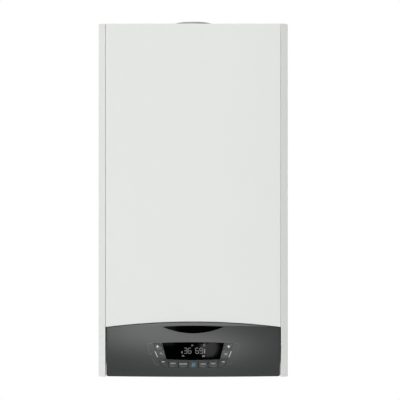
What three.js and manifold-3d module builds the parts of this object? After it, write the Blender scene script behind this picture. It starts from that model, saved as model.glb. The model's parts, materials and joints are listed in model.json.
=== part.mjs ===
// Wall-hung condensing combi boiler, in millimetres. X is to the viewer's right, +Y runs into
// the wall and +Z is up. The origin lies on the wall face of the rear frame, on the line of its
// hanging slots. Inside the boiler group, heights are counted from the lower edge of the casing.
import * as THREE from "three";
import { mergeVertices } from "three/addons/utils/BufferGeometryUtils.js";
import Module from "manifold-3d";

const wasm = await Module();
wasm.setup();

// ---------------------------------------------------------------- driving dimensions
// Casing
const caseWidth = 400;
const caseHeight = 745;
const caseDepth = 311; // wall to the face of the front cover
const hangLineHeight = 690; // hanging slots above the casing's lower edge
const sheet = 1.2; // steel sheet of the casing
const restGap = 0.3; // between pieces that sit on or in one another
const stripWidth = 14.8; // bevelled strip beside the front cover
const stripSetback = 7; // how far the strip falls back at its outer edge
const seam = 0.6; // open joint either side of the front cover
const archGap = 0.6; // open joint between the cover and the control panel
const coverStandOff = 1.2; // from the cover's flange to the seal lip
const sealLip = 18; // inward lip that the cover's seal presses on
const sealDepth = 12; // from the cover's inner face to that lip
const hookReach = 20; // tongue that hangs the cover on the top panel
const slotPitch = 120;
const slotWidth = 26;
const slotHeight = 12;
const ribPlace = 110; // pressed ribs of the rear frame, either side of the middle
const ribDepth = 6;
const chamberFloorHeight = 250;
const bottomFrameHeight = 44;
const bottomFrameDepth = 228;

// Control panel
const panelBottom = 0.7;
const panelSideTop = 104.9; // height of the arched top edge at the panel's sides
const panelArchRise = 11.2; // from the sides to the middle
const panelSideGap = 1.1; // how much narrower than the cover the panel is, on each side
const crescentRise = 4.2; // foot of the leaning crescent, in the middle, above the panel's side top
const crescentStart = 0.5; // and at the sides
const crescentLean = 0.63; // how far it leans back for each millimetre upwards
const crownDepth = 8; // how far the panel's middle stands in front of the cover
const panelWall = 2.5;
const panelRim = 8; // from the cover's face back to the panel's rear rim
const pivotHeight = 9;
const pivotSetback = 15; // from the cover's face to the panel's hinge axis
const pinRadius = 3;
const boxDepth = 64; // from the hinge axis to the back of the control box
const boxInset = 18.6; // from the cover's side edge in to the control box
const boxWall = 2;
const boxTop = 92;
const boxShoulder = 52; // where the box's rear wall starts to slope forwards
const boardHalf = 150;
const boardSpan = [12, 88];
const boardThickness = 1.6;
const matThickness = 2;
const windowTop = 72.6;
const windowBottom = 38.6;
const windowTopHalf = 65;
const windowBottomHalf = 56;
const windowBow = 1.5;
const bandTopHalf = 84.3; // outer edge of the key band that wraps the window
const bandBottomHalf = 66.8;
const bandBottom = 21;
const keyBreaks = [10.4, 31.2, 52]; // where the lower keys part, either side of the middle
const sideKeySplit = [40.5, 57.6]; // heights between which a side key gives way to its symbol
const keyGap = 0.35;
const keyWeb = 1.2; // wall between two key wells
const keyTravel = 0.8;
const keyProud = 0.5;
const badgeHalf = 65;
const badgeMiddle = 106.5;
const badgeTop = 108.6;
const badgeBottom = 93.1;

// Combustion
const exchangerRadius = 108;
const exchangerLength = 112;
const exchangerX = -40;
const exchangerHeight = 424;
const vesselRadius = 160;
const vesselDepth = 78;
const vesselHeight = 505;
const flueY = -165;
const flueRadius = 30;
const collarRadius = 50;
const collarHeight = 19;
const collarWall = 2;
const collarFlange = 124;
const collarCorner = 12;
const collarThickness = 3;
const gasketThickness = 2;
const fanX = 112;
const fanHeight = 612;
const fanY = -150;
const fanDepth = 46;
const impellerRadius = 46;
const spoutOffset = 52; // from the fan's axis across to its outlet
const spoutDrop = 66; // and down to the outlet's end
const fanInlet = 22;
const mixerRadius = 25;
const mixerFlange = 30;
const mixerThroat = 17;
const mixerLength = 30;
const silencerRadius = 31;
const silencerDepth = 58;
const intakeRadius = 27; // of the tube that runs from the silencer across the boiler
const intakeReach = 180;
const valveHalf = 34;
const valveHeight = 72;
const bladeCount = 12;
const tubeWall = 2;
const doorThickness = 12;

// Hydraulics
const stubPitch = 67;
const stubY = -120;
const stubDrop = 10; // how far the pipe tails reach below the casing
const stubRadius = 10.5;
const stubBore = 8;
const tailNut = 24;
const tailNutSpan = [16, 30];
const groupHeight = 100;
const groupRadius = 16;
const pumpX = 120;
const pumpHeight = 112;
const pumpRadius = 36;
const rotorRadius = 26;
const shaftRadius = 4;
const shaftClearance = 0.3;
const diverterX = -150;
const diverterRadius = 18;
const diverterTravel = 6;
const knobRadius = 13;

// Values that follow from those above
const halfWidth = caseWidth / 2;
const frontFace = -caseDepth;
const coverHalf = halfWidth - stripWidth - seam;
const lipFace = frontFace + sheet + sealDepth;
const innerHalf = halfWidth - sheet - restGap;
const roofTop = caseHeight - sheet - restGap * 2;
const panelHalf = coverHalf - panelSideGap;
const panelTop = panelSideTop + panelArchRise;
const archRadius = (panelHalf ** 2 + panelArchRise ** 2) / (2 * panelArchRise);
const crownFace = frontFace - crownDepth;
const panelRear = frontFace + panelRim;
const pivotY = frontFace + pivotSetback;
const boxRear = pivotY + boxDepth;
const boxHalfWidth = coverHalf - boxInset;

// ---------------------------------------------------------------- solids
// A closed three.js geometry as a manifold solid, turned the right way out.
function solid(geometry) {
  const bare = geometry.index ? geometry.toNonIndexed() : geometry.clone();
  bare.deleteAttribute("normal");
  bare.deleteAttribute("uv");
  const merged = mergeVertices(bare, 1e-4);
  const make = (triVerts) =>
    new wasm.Manifold(
      new wasm.Mesh({
        numProp: 3,
        vertProperties: new Float32Array(merged.attributes.position.array),
        triVerts,
      }),
    );
  const triVerts = new Uint32Array(merged.index.array);
  const made = make(triVerts);
  if (made.volume() >= 0) return made;
  for (let i = 0; i < triVerts.length; i += 3) {
    [triVerts[i + 1], triVerts[i + 2]] = [triVerts[i + 2], triVerts[i + 1]];
  }
  return make(triVerts);
}

function join(...parts) {
  return parts.flat().reduce((sum, part) => sum.add(part));
}

function cut(body, ...tools) {
  return tools.flat().reduce((rest, tool) => rest.subtract(tool), body);
}

function geometryOf(body) {
  const mesh = body.getMesh();
  const positions = new Float32Array(mesh.numVert * 3);
  for (let i = 0; i < mesh.numVert; i += 1) {
    positions.set(mesh.vertProperties.subarray(i * mesh.numProp, i * mesh.numProp + 3), i * 3);
  }
  return new THREE.BufferGeometry()
    .setAttribute("position", new THREE.BufferAttribute(positions, 3))
    .setIndex(new THREE.BufferAttribute(new Uint32Array(mesh.triVerts), 1));
}

// A block between two corners, each given as [low, high] along its axis.
function block([x0, x1], [y0, y1], [z0, z1]) {
  const geometry = new THREE.BoxGeometry(x1 - x0, y1 - y0, z1 - z0);
  return solid(geometry.translate((x0 + x1) / 2, (y0 + y1) / 2, (z0 + z1) / 2));
}

// A round bar along one axis: its ends lie along that axis, its centre on the other two.
function bar(axis, radius, [from, to], [u, v], sides = 18, endRadius = radius) {
  const geometry = new THREE.CylinderGeometry(endRadius, radius, to - from, sides);
  geometry.translate(0, (from + to) / 2, 0);
  if (axis === "x") return solid(geometry.rotateZ(-Math.PI / 2).translate(0, u, v));
  if (axis === "y") return solid(geometry.translate(u, 0, v));
  return solid(geometry.rotateX(Math.PI / 2).translate(u, v, 0));
}

// A turned part: points are [radius, place along the axis], and close on the axis.
function turned(axis, points, [u, v], sides = 32) {
  const profile = points.map(([r, t]) => new THREE.Vector2(r, t));
  const geometry = new THREE.LatheGeometry(profile, sides);
  if (axis === "y") return solid(geometry.translate(u, 0, v));
  return solid(geometry.rotateX(Math.PI / 2).translate(u, v, 0));
}

function outline(points) {
  return new THREE.Shape(points.map(([u, v]) => new THREE.Vector2(u, v)));
}

// A flat outline given in the plane across the axis, drawn out between two places on the axis.
function drawn(axis, shape, [from, to], curveSegments = 12) {
  const options = { depth: to - from, bevelEnabled: false, curveSegments };
  const geometry = new THREE.ExtrudeGeometry(shape, options);
  if (axis === "x") {
    const turn = new THREE.Matrix4().makeBasis(
      new THREE.Vector3(0, 1, 0),
      new THREE.Vector3(0, 0, 1),
      new THREE.Vector3(1, 0, 0),
    );
    return solid(geometry.applyMatrix4(turn).translate(from, 0, 0));
  }
  if (axis === "y") return solid(geometry.rotateX(Math.PI / 2).translate(0, to, 0));
  return solid(geometry.translate(0, 0, from));
}

// A strip of folded sheet: an open line of points, thickened to its right-hand side.
function folded(points, thickness) {
  const inner = points.map((point, i) => {
    const before = points[Math.max(i - 1, 0)];
    const after = points[Math.min(i + 1, points.length - 1)];
    const a = new THREE.Vector2(point[0] - before[0], point[1] - before[1]).normalize();
    const b = new THREE.Vector2(after[0] - point[0], after[1] - point[1]).normalize();
    if (i === 0) a.copy(b);
    if (i === points.length - 1) b.copy(a);
    const along = a.clone().add(b).normalize();
    const stretch = thickness / Math.cos(Math.acos(Math.min(a.dot(b), 1)) / 2);
    return [point[0] + along.y * stretch, point[1] - along.x * stretch];
  });
  return outline([...points, ...inner.reverse()]);
}

// A bent tube or duct: straight runs between the points, with a round bend at each inner one.
function route(points, bend) {
  const path = new THREE.CurvePath();
  const places = points.map((p) => new THREE.Vector3(...p));
  let start = places[0];
  for (let i = 1; i < places.length - 1; i += 1) {
    const back = places[i - 1].clone().sub(places[i]);
    const ahead = places[i + 1].clone().sub(places[i]);
    const reach = Math.min(bend, back.length() / 2, ahead.length() / 2);
    const entry = places[i].clone().addScaledVector(back.normalize(), reach);
    const exit = places[i].clone().addScaledVector(ahead.normalize(), reach);
    path.add(new THREE.LineCurve3(start, entry));
    path.add(new THREE.QuadraticBezierCurve3(entry, places[i], exit));
    start = exit;
  }
  path.add(new THREE.LineCurve3(start, places[places.length - 1]));
  return path;
}

function ring(radius, sides) {
  const shape = new THREE.Shape();
  for (let i = 0; i < sides; i += 1) {
    const angle = (i / sides) * Math.PI * 2;
    const u = radius * Math.cos(angle);
    const v = radius * Math.sin(angle);
    if (i === 0) shape.moveTo(u, v);
    else shape.lineTo(u, v);
  }
  return shape;
}

function pipe(points, radius, bend, sides = 8, steps = 18) {
  const options = { extrudePath: route(points, bend), steps, bevelEnabled: false };
  return solid(new THREE.ExtrudeGeometry(ring(radius, sides), options));
}

function hexNut(axis, across, span, centre) {
  return bar(axis, across / Math.sqrt(3), span, centre, 6);
}

// ---------------------------------------------------------------- materials
function finish(color, roughness, metalness = 0) {
  return new THREE.MeshStandardMaterial({ color, roughness, metalness });
}

const whiteEnamel = finish(0xe9eae7, 0.35);
const zincSteel = finish(0xb4b8ba, 0.45, 0.8);
const graphitePlastic = finish(0x55585a, 0.45);
const blackGloss = finish(0x08090a, 0.08);
const blackPlastic = finish(0x1d1e20, 0.55);
const keyPlastic = finish(0x494c4e, 0.5);
const rubber = finish(0x2a2a2b, 0.85);
const boardGreen = finish(0x2f6b46, 0.5);
const castAluminium = finish(0xa9acae, 0.5, 0.8);
const stainless = finish(0xc4c6c7, 0.3, 0.9);
const brass = finish(0xb9975b, 0.35, 0.9);
const copper = finish(0xb87350, 0.35, 0.9);
const vesselPaint = finish(0x9a2b22, 0.5);
const greyPlastic = finish(0x8d9092, 0.5);
const knobRed = finish(0xb3231d, 0.45);
const knobBlue = finish(0x2b5a94, 0.45);

// ---------------------------------------------------------------- scene graph
const boiler = new THREE.Group();
boiler.position.z = -hangLineHeight;

function place(parent, name, body, material, at = [0, 0, 0]) {
  const mesh = new THREE.Mesh(geometryOf(body), material);
  mesh.name = name;
  mesh.position.set(...at);
  parent.add(mesh);
  return mesh;
}

// ---------------------------------------------------------------- casing
function rearFrame() {
  const flank = 3 * ribDepth;
  const rib = (x) => [
    [x - flank, 0],
    [x - flank + ribDepth, -ribDepth],
    [x + flank - ribDepth, -ribDepth],
    [x + flank, 0],
  ];
  const line = [
    [-innerHalf, -20],
    [-innerHalf, 0],
    ...rib(-ribPlace),
    ...rib(ribPlace),
    [innerHalf, 0],
    [innerHalf, -20],
  ];
  const panel = drawn("z", folded(line, sheet), [2, roofTop - sheet - restGap]);
  const slots = [-1, 1].map((side) => {
    const x = (side * slotPitch) / 2;
    return block(
      [x - slotWidth / 2, x + slotWidth / 2],
      [-sheet - 1, 1],
      [hangLineHeight - slotHeight / 2, hangLineHeight + slotHeight / 2],
    );
  });
  return cut(panel, slots);
}

function sidePanel(side) {
  const inner = halfWidth - stripWidth;
  const line = [
    [halfWidth, -restGap],
    [halfWidth, frontFace + stripSetback],
    [inner, frontFace],
    [inner, lipFace],
    [inner - sealLip, lipFace],
  ];
  const panel = drawn("z", folded(line, sheet), [0, caseHeight]);
  // The lip stops above the control panel and under the top panel.
  const lipSpan = [inner - sealLip - 1, inner - restGap];
  const lipDepth = [lipFace - 1, lipFace + sheet + 1];
  const below = block(lipSpan, lipDepth, [-1, panelTop + 4]);
  const above = block(lipSpan, lipDepth, [roofTop - sheet - restGap, caseHeight + 1]);
  const right = cut(panel, below, above);
  return side > 0 ? right : right.mirror([1, 0, 0]);
}

const lipInner = halfWidth - stripWidth - sealLip - restGap; // between the two seal lips
const roofUnder = roofTop - sheet;
const plateHalf = innerHalf - sheet - restGap; // inside the rear frame's side flanges
const plateSpan = [-plateHalf, plateHalf];
const plateRear = -sheet - ribDepth - restGap;

function topPanel() {
  const front = lipFace + sheet + restGap;
  const roof = block([-innerHalf, innerHalf], [front, -restGap], [roofUnder, roofTop]);
  const frontFlange = block([-lipInner, lipInner], [lipFace, front + sheet], [roofTop - 16, roofTop]);
  const sideFlanges = [-1, 1].map((side) => {
    const x = [side * innerHalf, side * (innerHalf - sheet)].sort((a, b) => a - b);
    return block(x, [front, -25], [roofTop - 12, roofTop]);
  });
  const hole = bar("z", collarRadius - collarWall, [roofUnder - 1, roofTop + 1], [0, flueY], 24);
  return cut(join(roof, frontFlange, sideFlanges), hole);
}

const stubPlaces = [-2, -1, 0, 1, 2].map((i) => i * stubPitch);
const safetyX = 1.5 * stubPitch;
const fillingX = 0.5 * stubPitch;
const trapX = -40;
const trapY = -190;
const trapRadius = 30;
const trapBottom = 104;
const trapTop = chamberFloorHeight - 18;
const drainLength = 12; // of the heat exchanger's condensate drain
const drainRadius = 9;
const glandX = -105;
const glandY = -190;
const glandRadius = 9;
const gasRadius = 9;
const inletFace = fanY - fanDepth - 6 - restGap;
const mixerFront = inletFace - mixerLength;
const gasRiseY = mixerFront + 14;
const mixerGasDrop = 44; // from the fan's axis down to the gas boss of the mixer
const flowX = -105;
const returnX = 30;
const risePipeRadius = 8;

function holes(places, radius, height) {
  return places.map(([x, y]) => bar("z", radius, [height - 3, height + 3], [x, y], 14));
}

function bottomFrame() {
  const under = bottomFrameHeight;
  const floor = block(plateSpan, [-bottomFrameDepth, plateRear], [under, under + sheet]);
  const frontFlange = block(
    plateSpan,
    [-bottomFrameDepth, -bottomFrameDepth + sheet],
    [under - 24, under + sheet],
  );
  const rearFlange = block(plateSpan, [plateRear - sheet, plateRear], [under - 14, under + sheet]);
  const tails = stubPlaces.map((x) => [x, stubY]);
  return cut(
    join(floor, frontFlange, rearFlange),
    holes(tails, stubRadius + restGap, under),
    holes([[safetyX, stubY], [fillingX, stubY]], knobRadius - 2, under),
    holes([[trapX, trapY]], drainRadius + restGap, under),
    holes([[glandX, glandY]], glandRadius + restGap, under),
  );
}

const hoseX = -75;
const hoseY = -46;
const hoseRadius = 5;

function chamberFloor() {
  const height = chamberFloorHeight;
  const front = lipFace + sheet + restGap;
  const floor = block(plateSpan, [front, plateRear], [height, height + sheet]);
  const frontFlange = block([-lipInner, lipInner], [lipFace, front + sheet], [height, height + 16]);
  return cut(
    join(floor, frontFlange),
    holes([[fanX, gasRiseY]], gasRadius + restGap, height),
    holes([[flowX, stubY], [returnX, stubY]], risePipeRadius + restGap, height),
    holes([[trapX, trapY]], drainRadius + restGap, height),
    holes([[hoseX, hoseY]], hoseRadius + restGap, height),
  );
}

// The arched edge shared by the control panel and the cover, seen from the front.
function archedShape(half, bottom, sideTop, rise, corner) {
  const shape = new THREE.Shape();
  const radius = (half ** 2 + rise ** 2) / (2 * rise);
  const spread = Math.asin(half / radius);
  shape.moveTo(-half, bottom + corner);
  shape.quadraticCurveTo(-half, bottom, -half + corner, bottom);
  shape.lineTo(half - corner, bottom);
  shape.quadraticCurveTo(half, bottom, half, bottom + corner);
  const centre = sideTop + rise - radius;
  shape.absarc(0, centre, radius, Math.PI / 2 - spread, Math.PI / 2 + spread, false);
  return shape;
}

function coverShape(inset) {
  const half = coverHalf - inset;
  const radius = archRadius + archGap + inset;
  const spread = Math.asin(half / radius);
  const centre = panelTop - archRadius;
  const shape = new THREE.Shape();
  shape.moveTo(half, caseHeight - inset);
  shape.lineTo(-half, caseHeight - inset);
  shape.absarc(0, centre, radius, Math.PI / 2 + spread, Math.PI / 2 - spread, true);
  return shape;
}

function frontCover() {
  const flangeEnd = lipFace - coverStandOff;
  const shell = drawn("y", coverShape(0), [frontFace, flangeEnd], 20);
  const hollow = drawn("y", coverShape(sheet), [frontFace + sheet, flangeEnd + 1], 20);
  const hook = block(
    [-lipInner, lipInner],
    [flangeEnd - 1, flangeEnd + hookReach],
    [caseHeight - sheet, caseHeight],
  );
  return join(cut(shell, hollow), hook);
}

function coverSeal() {
  const depth = [frontFace + sheet + restGap, lipFace - restGap];
  const outer = halfWidth - stripWidth - seam - sheet - 1.5;
  const inner = outer - 9;
  const low = chamberFloorHeight + 1;
  const high = roofTop - 2;
  const body = block([-outer, outer], depth, [low, high]);
  return cut(body, block([-inner, inner], [depth[0] - 1, depth[1] + 1], [low + 10, high - 10]));
}

// ---------------------------------------------------------------- control panel
// The depth of the panel's crowned face at a place on it.
function crownAt(x, z) {
  const middle = (panelBottom + panelTop) / 2;
  const across = (x / panelHalf) ** 2;
  const upward = ((z - middle) / (panelTop - middle)) ** 2;
  return crownFace + crownDepth * (0.8 * across + 0.5 * upward);
}

// A block whose front is crowned both ways; shift moves that face back from the panel's own.
function crowned(half, [low, high], shift, rear) {
  const columns = 12;
  const rows = 4;
  const geometry = new THREE.BoxGeometry(2 * half, 1, high - low, columns, 1, rows);
  const position = geometry.attributes.position;
  for (let i = 0; i < position.count; i += 1) {
    const z = position.getZ(i) + (low + high) / 2;
    const front = crownAt(position.getX(i), z) + shift;
    position.setY(i, position.getY(i) < 0 ? front : rear);
    position.setZ(i, z);
  }
  return solid(geometry);
}

// What is cut away in front of the crescent, which leans back above its own bowed foot line.
function crescentSpace() {
  const geometry = new THREE.BoxGeometry(2 * panelHalf + 10, 2, 2, 24, 1, 1);
  const position = geometry.attributes.position;
  for (let i = 0; i < position.count; i += 1) {
    const x = position.getX(i);
    const bow = (crescentRise - crescentStart) * (1 - (x / panelHalf) ** 2);
    const foot = panelSideTop + crescentStart + bow;
    const z = position.getZ(i) > 0 ? panelTop + 1 : foot;
    const leaning = crownAt(x, foot) + crescentLean * (z - foot);
    position.setY(i, position.getY(i) > 0 ? leaning : crownFace - 5);
    position.setZ(i, z);
  }
  return solid(geometry);
}

// The window's tapered outline with bowed upper and lower edges, moved out by grow.
function bowedShape(top, bottom, topHalf, bottomHalf, bow, grow) {
  const slope = (topHalf - bottomHalf) / (top - bottom);
  const side = grow * Math.hypot(1, slope);
  const upper = top + grow;
  const lower = bottom - grow;
  const upperHalf = topHalf + slope * grow + side;
  const lowerHalf = bottomHalf - slope * grow + side;
  const shape = new THREE.Shape();
  shape.moveTo(-upperHalf, upper);
  shape.lineTo(-lowerHalf, lower);
  shape.quadraticCurveTo(0, lower - 2 * bow, lowerHalf, lower);
  shape.lineTo(upperHalf, upper);
  shape.quadraticCurveTo(0, upper + 2 * bow, -upperHalf, upper);
  return shape;
}

function windowPrism(grow, depth) {
  const shape = bowedShape(windowTop, windowBottom, windowTopHalf, windowBottomHalf, windowBow, grow);
  return drawn("y", shape, depth, 8);
}

// The U-shaped band of keys round the window, moved in or out by grow on both of its edges.
function bandPrism(grow, depth) {
  const top = windowTop - 0.6;
  const corner = 13;
  const slope = (bandTopHalf - bandBottomHalf) / (top - bandBottom);
  const side = grow * Math.hypot(1, slope);
  const upper = top + grow;
  const lower = bandBottom - grow;
  const upperHalf = bandTopHalf + slope * grow + side;
  const lowerHalf = bandBottomHalf - slope * grow + side;
  const shape = new THREE.Shape();
  shape.moveTo(-upperHalf, upper);
  shape.lineTo(-lowerHalf - slope * corner, lower + corner);
  shape.quadraticCurveTo(-lowerHalf, lower, -lowerHalf + corner, lower - 0.3 * windowBow);
  shape.quadraticCurveTo(0, lower - 1.4 * windowBow, lowerHalf - corner, lower - 0.3 * windowBow);
  shape.quadraticCurveTo(lowerHalf, lower, lowerHalf + slope * corner, lower + corner);
  shape.lineTo(upperHalf, upper);
  const inner = windowPrism(keyWeb - grow, [depth[0] - 1, depth[1] + 1]);
  const openTop = block(
    [-windowTopHalf + grow, windowTopHalf - grow],
    [depth[0] - 1, depth[1] + 1],
    [windowTop - 4, windowTop + 20],
  );
  return cut(drawn("y", shape, depth, 6), inner, openTop);
}

// Each key's cell of the band: its span across and its span in height.
const [breakA, breakB, breakC] = keyBreaks;
const [splitLow, splitHigh] = sideKeySplit;
const far = bandTopHalf + 20;
const cells = {
  key_hot_water_plus: [[-far, -breakC], [splitHigh, windowTop + 20]],
  key_hot_water_minus: [[-far, -breakC], [0, splitLow]],
  key_heating_plus: [[breakC, far], [splitHigh, windowTop + 20]],
  key_heating_minus: [[breakC, far], [0, splitLow]],
  key_menu: [[-breakC, -breakB], [0, splitLow]],
  key_comfort: [[-breakB, -breakA], [0, splitLow]],
  key_power: [[-breakA, breakA], [0, splitLow]],
  key_auto: [[breakA, breakB], [0, splitLow]],
  key_reset: [[breakB, breakC], [0, splitLow]],
};

// The stretch of the band that belongs to one key, moved out by grow.
function keyPrism([across, upward], grow, depth) {
  const cell = block(
    [across[0] - grow, across[1] + grow],
    [depth[0] - 1, depth[1] + 1],
    [upward[0] - grow, upward[1] + grow],
  );
  return bandPrism(grow, depth).intersect(cell);
}

const wellInset = keyWeb / 2;
const keyBack = crownFace + 7.2;
const lensShape = (grow) => {
  const shape = new THREE.Shape();
  const half = badgeHalf + 3 * grow;
  const lower = 2 * (badgeBottom - grow) - badgeMiddle;
  const upper = 2 * (badgeTop + grow) - badgeMiddle;
  shape.moveTo(-half, badgeMiddle);
  shape.quadraticCurveTo(0, lower, half, badgeMiddle);
  shape.quadraticCurveTo(0, upper, -half, badgeMiddle);
  return shape;
};

function panelLayer(front, back, half) {
  const layer = crowned(half, [0, panelTop + 5], front, crownFace + 40);
  return cut(layer, crowned(half + 1, [-1, panelTop + 6], back, crownFace + 41));
}

function fascia() {
  const rise = panelArchRise;
  const shape = archedShape(panelHalf, panelBottom, panelSideTop, rise, 4);
  const inside = archedShape(
    panelHalf - panelWall,
    panelBottom + panelWall,
    panelSideTop - panelWall,
    rise,
    3,
  );
  const outer = crowned(panelHalf + 1, [-1, panelTop + 5], 0, panelRear + 1).intersect(
    drawn("y", shape, [crownFace - 5, panelRear], 12),
  );
  const hollow = crowned(panelHalf + 1, [-1, panelTop + 5], panelWall, panelRear + 2).intersect(
    drawn("y", inside, [crownFace - 5, panelRear + 1], 12),
  );
  const through = [crownFace - 5, crownFace + 12];
  const wells = Object.values(cells).map((cell) => keyPrism(cell, -wellInset, through));
  const groove = Object.values(cells).map((cell) => keyPrism(cell, 0.01, through));
  const shallow = panelLayer(-2, 0.9, panelHalf);
  const ledge = windowPrism(-2.5, through);
  const rebate = windowPrism(keyGap, through).intersect(panelLayer(-2, 1.5, panelHalf));
  const lens = drawn("y", lensShape(0.2), through).intersect(panelLayer(-2, 1.3, panelHalf));
  const front = cut(outer, hollow, wells, join(groove).intersect(shallow), ledge, rebate, lens);
  return cut(front, crescentSpace());
}

function displayWindow() {
  return windowPrism(0, [crownFace - 5, crownFace + 12]).intersect(panelLayer(0, 1.2, panelHalf));
}

function badgeInlay() {
  const prism = drawn("y", lensShape(0), [crownFace - 5, crownFace + 12]);
  return prism.intersect(panelLayer(0, 1, panelHalf));
}

function key(cell) {
  const front = panelLayer(-keyProud, 40 - keyProud, panelHalf);
  const body = keyPrism(cell, -wellInset - keyGap, [crownFace - 5, keyBack]).intersect(front);
  const lip = keyPrism(cell, -0.35, [keyBack - 1, keyBack]);
  return join(body, lip);
}

const matFace = keyBack + keyTravel + restGap;
const boardFace = matFace + matThickness + restGap;

function keypadMat() {
  return bandPrism(2, [matFace, matFace + matThickness]);
}

const boardRear = boardFace + boardThickness;

// A component on the back of the main board.
function onBoard(across, height, upward) {
  return block(across, [boardRear - 0.5, boardRear + height], upward);
}

function mainBoard() {
  const board = block([-boardHalf, boardHalf], [boardFace, boardRear], boardSpan);
  const transformer = onBoard([-140, -100], 32, [24, 62]);
  const capacitor = bar("y", 9, [boardRear - 0.5, boardRear + 26], [20, 50], 12);
  const relayWidth = 20;
  const relays = [-80, -54, -28].map((x) => onBoard([x, x + relayWidth], 16, [20, 32]));
  const plugWidth = 18;
  const plugs = [44, 68, 92, 116].map((x) => onBoard([x, x + plugWidth], 12, [16, 26]));
  return join(board, transformer, capacitor, relays, plugs);
}

function lcdModule() {
  const front = crownFace + 3.2;
  const half = windowBottomHalf - 2;
  return block([-half, half], [front, boardFace - restGap], [windowBottom + 3.4, windowTop - 2.6]);
}

function controlBox() {
  const low = panelBottom + 2.8;
  const front = panelRear + restGap;
  const side = (inset) =>
    outline([
      [front, low + inset],
      [boxRear - inset, low + inset],
      [boxRear - inset, boxShoulder - inset * 0.4],
      [boxRear - 30 - inset * 0.6, boxTop - inset],
      [front, boxTop - inset],
    ]);
  const innerHalfWidth = boxHalfWidth - boxWall;
  const shell = drawn("x", side(0), [-boxHalfWidth, boxHalfWidth]);
  const backShape = archedShape(panelHalf - 1, panelBottom + 1, panelSideTop - 1, panelArchRise, 3);
  const plate = drawn("y", backShape, [front, front + boxWall], 20);
  const inside = drawn("x", side(boxWall), [-innerHalfWidth, innerHalfWidth]);
  const mouth = block(
    [-innerHalfWidth, innerHalfWidth],
    [panelRear - 1, front + boxWall + 1],
    [low + boxWall, boxTop - boxWall],
  );
  // Four posts carry the board; the upper two end at the sloping part of the rear wall.
  const posts = [-1, 1].flatMap((s) => {
    const x = s * (boardHalf - 6);
    const start = boardRear + restGap;
    const lower = bar("y", 4, [start, boxRear - boxWall], [x, boardSpan[0] + 8], 10);
    const upper = bar("y", 4, [start, boxRear - boxWall - 20], [x, boardSpan[1] - 8], 10);
    return [lower, upper];
  });
  const pinReach = [-halfWidth, halfWidth];
  const pinHoles = bar("x", pinRadius + shaftClearance, pinReach, [pivotY, pivotHeight], 12);
  const throughRear = [boxRear - boxWall - 1, boxRear + 1];
  const vents = [-75, -49, -23, 3, 29, 55].map((x) => block([x, x + 20], throughRear, [30, 34]));
  const outletHole = block([-130, -100], throughRear, [14, 28]);
  return cut(join(cut(join(shell, plate), inside, mouth), posts), pinHoles, vents, outletHole);
}

function hingeBracket(side) {
  const inner = boxHalfWidth + 4;
  const noseReach = pinRadius + 0.8; // short enough to stay clear of the panel's back as it tilts
  const arm = outline([
    [pivotY - noseReach, pivotHeight - 2],
    [pivotY - 2, pivotHeight - 3.5],
    [-bottomFrameDepth - restGap, pivotHeight - 3.5],
    [-bottomFrameDepth - restGap, bottomFrameHeight],
    [-bottomFrameDepth - 12, bottomFrameHeight],
    [-bottomFrameDepth - 22, pivotHeight + 8],
    [pivotY, pivotHeight + 4.5],
    [pivotY - noseReach, pivotHeight + 2],
  ]);
  const plate = drawn("x", arm, [inner, inner + 2]);
  const foot = block(
    [inner, inner + 22],
    [-bottomFrameDepth - restGap - 2, -bottomFrameDepth - restGap],
    [bottomFrameHeight - 24, bottomFrameHeight],
  );
  const pin = bar("x", pinRadius, [boxHalfWidth - boxWall - 1, inner + 1], [pivotY, pivotHeight], 12);
  const right = join(plate, foot, pin);
  return side > 0 ? right : right.mirror([1, 0, 0]);
}

// ---------------------------------------------------------------- combustion
const exchangerRear = -94;
const exchangerFront = exchangerRear - exchangerLength;
const doorFront = exchangerFront - restGap - doorThickness;
const portLength = 16; // of the heat exchanger's two water ports

function dropAt(dx) {
  return exchangerHeight - Math.sqrt(exchangerRadius ** 2 - dx ** 2);
}

function heatExchanger() {
  const ribs = 5;
  const pitch = (exchangerLength - 16) / ribs;
  const profile = [
    [0, exchangerFront],
    [exchangerRadius, exchangerFront],
    [exchangerRadius, exchangerFront + 8],
  ];
  for (let i = 0; i < ribs; i += 1) {
    const start = exchangerFront + 8 + i * pitch;
    profile.push([exchangerRadius - 5, start + 0.25 * pitch]);
    profile.push([exchangerRadius - 5, start + 0.65 * pitch]);
    profile.push([exchangerRadius, start + pitch - 1]);
  }
  profile.push([exchangerRadius, exchangerRear - 6], [exchangerRadius - 8, exchangerRear]);
  profile.push([0, exchangerRear]);
  const barrel = turned("y", profile, [exchangerX, exchangerHeight], 22);
  const [flow, back] = [flowX, returnX].map((x) => {
    const end = dropAt(x - exchangerX) - portLength;
    return bar("z", 12, [end, exchangerHeight - 60], [x, stubY], 12);
  });
  const drain = bar("z", 13, [dropAt(0) - drainLength, exchangerHeight - 90], [trapX, trapY], 12);
  const flueBoss = turned(
    "z",
    [
      [0, exchangerHeight + 60],
      [flueRadius + 6, exchangerHeight + 60],
      [flueRadius + 6, flueSeat - 8],
      [flueRadius + 9, flueSeat - 8],
      [flueRadius + 9, flueSeat],
      [0, flueSeat],
    ],
    [0, flueY],
    20,
  );
  return join(barrel, flow, back, drain, flueBoss);
}

const flueSeat = exchangerHeight + exchangerRadius + 14;

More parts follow.
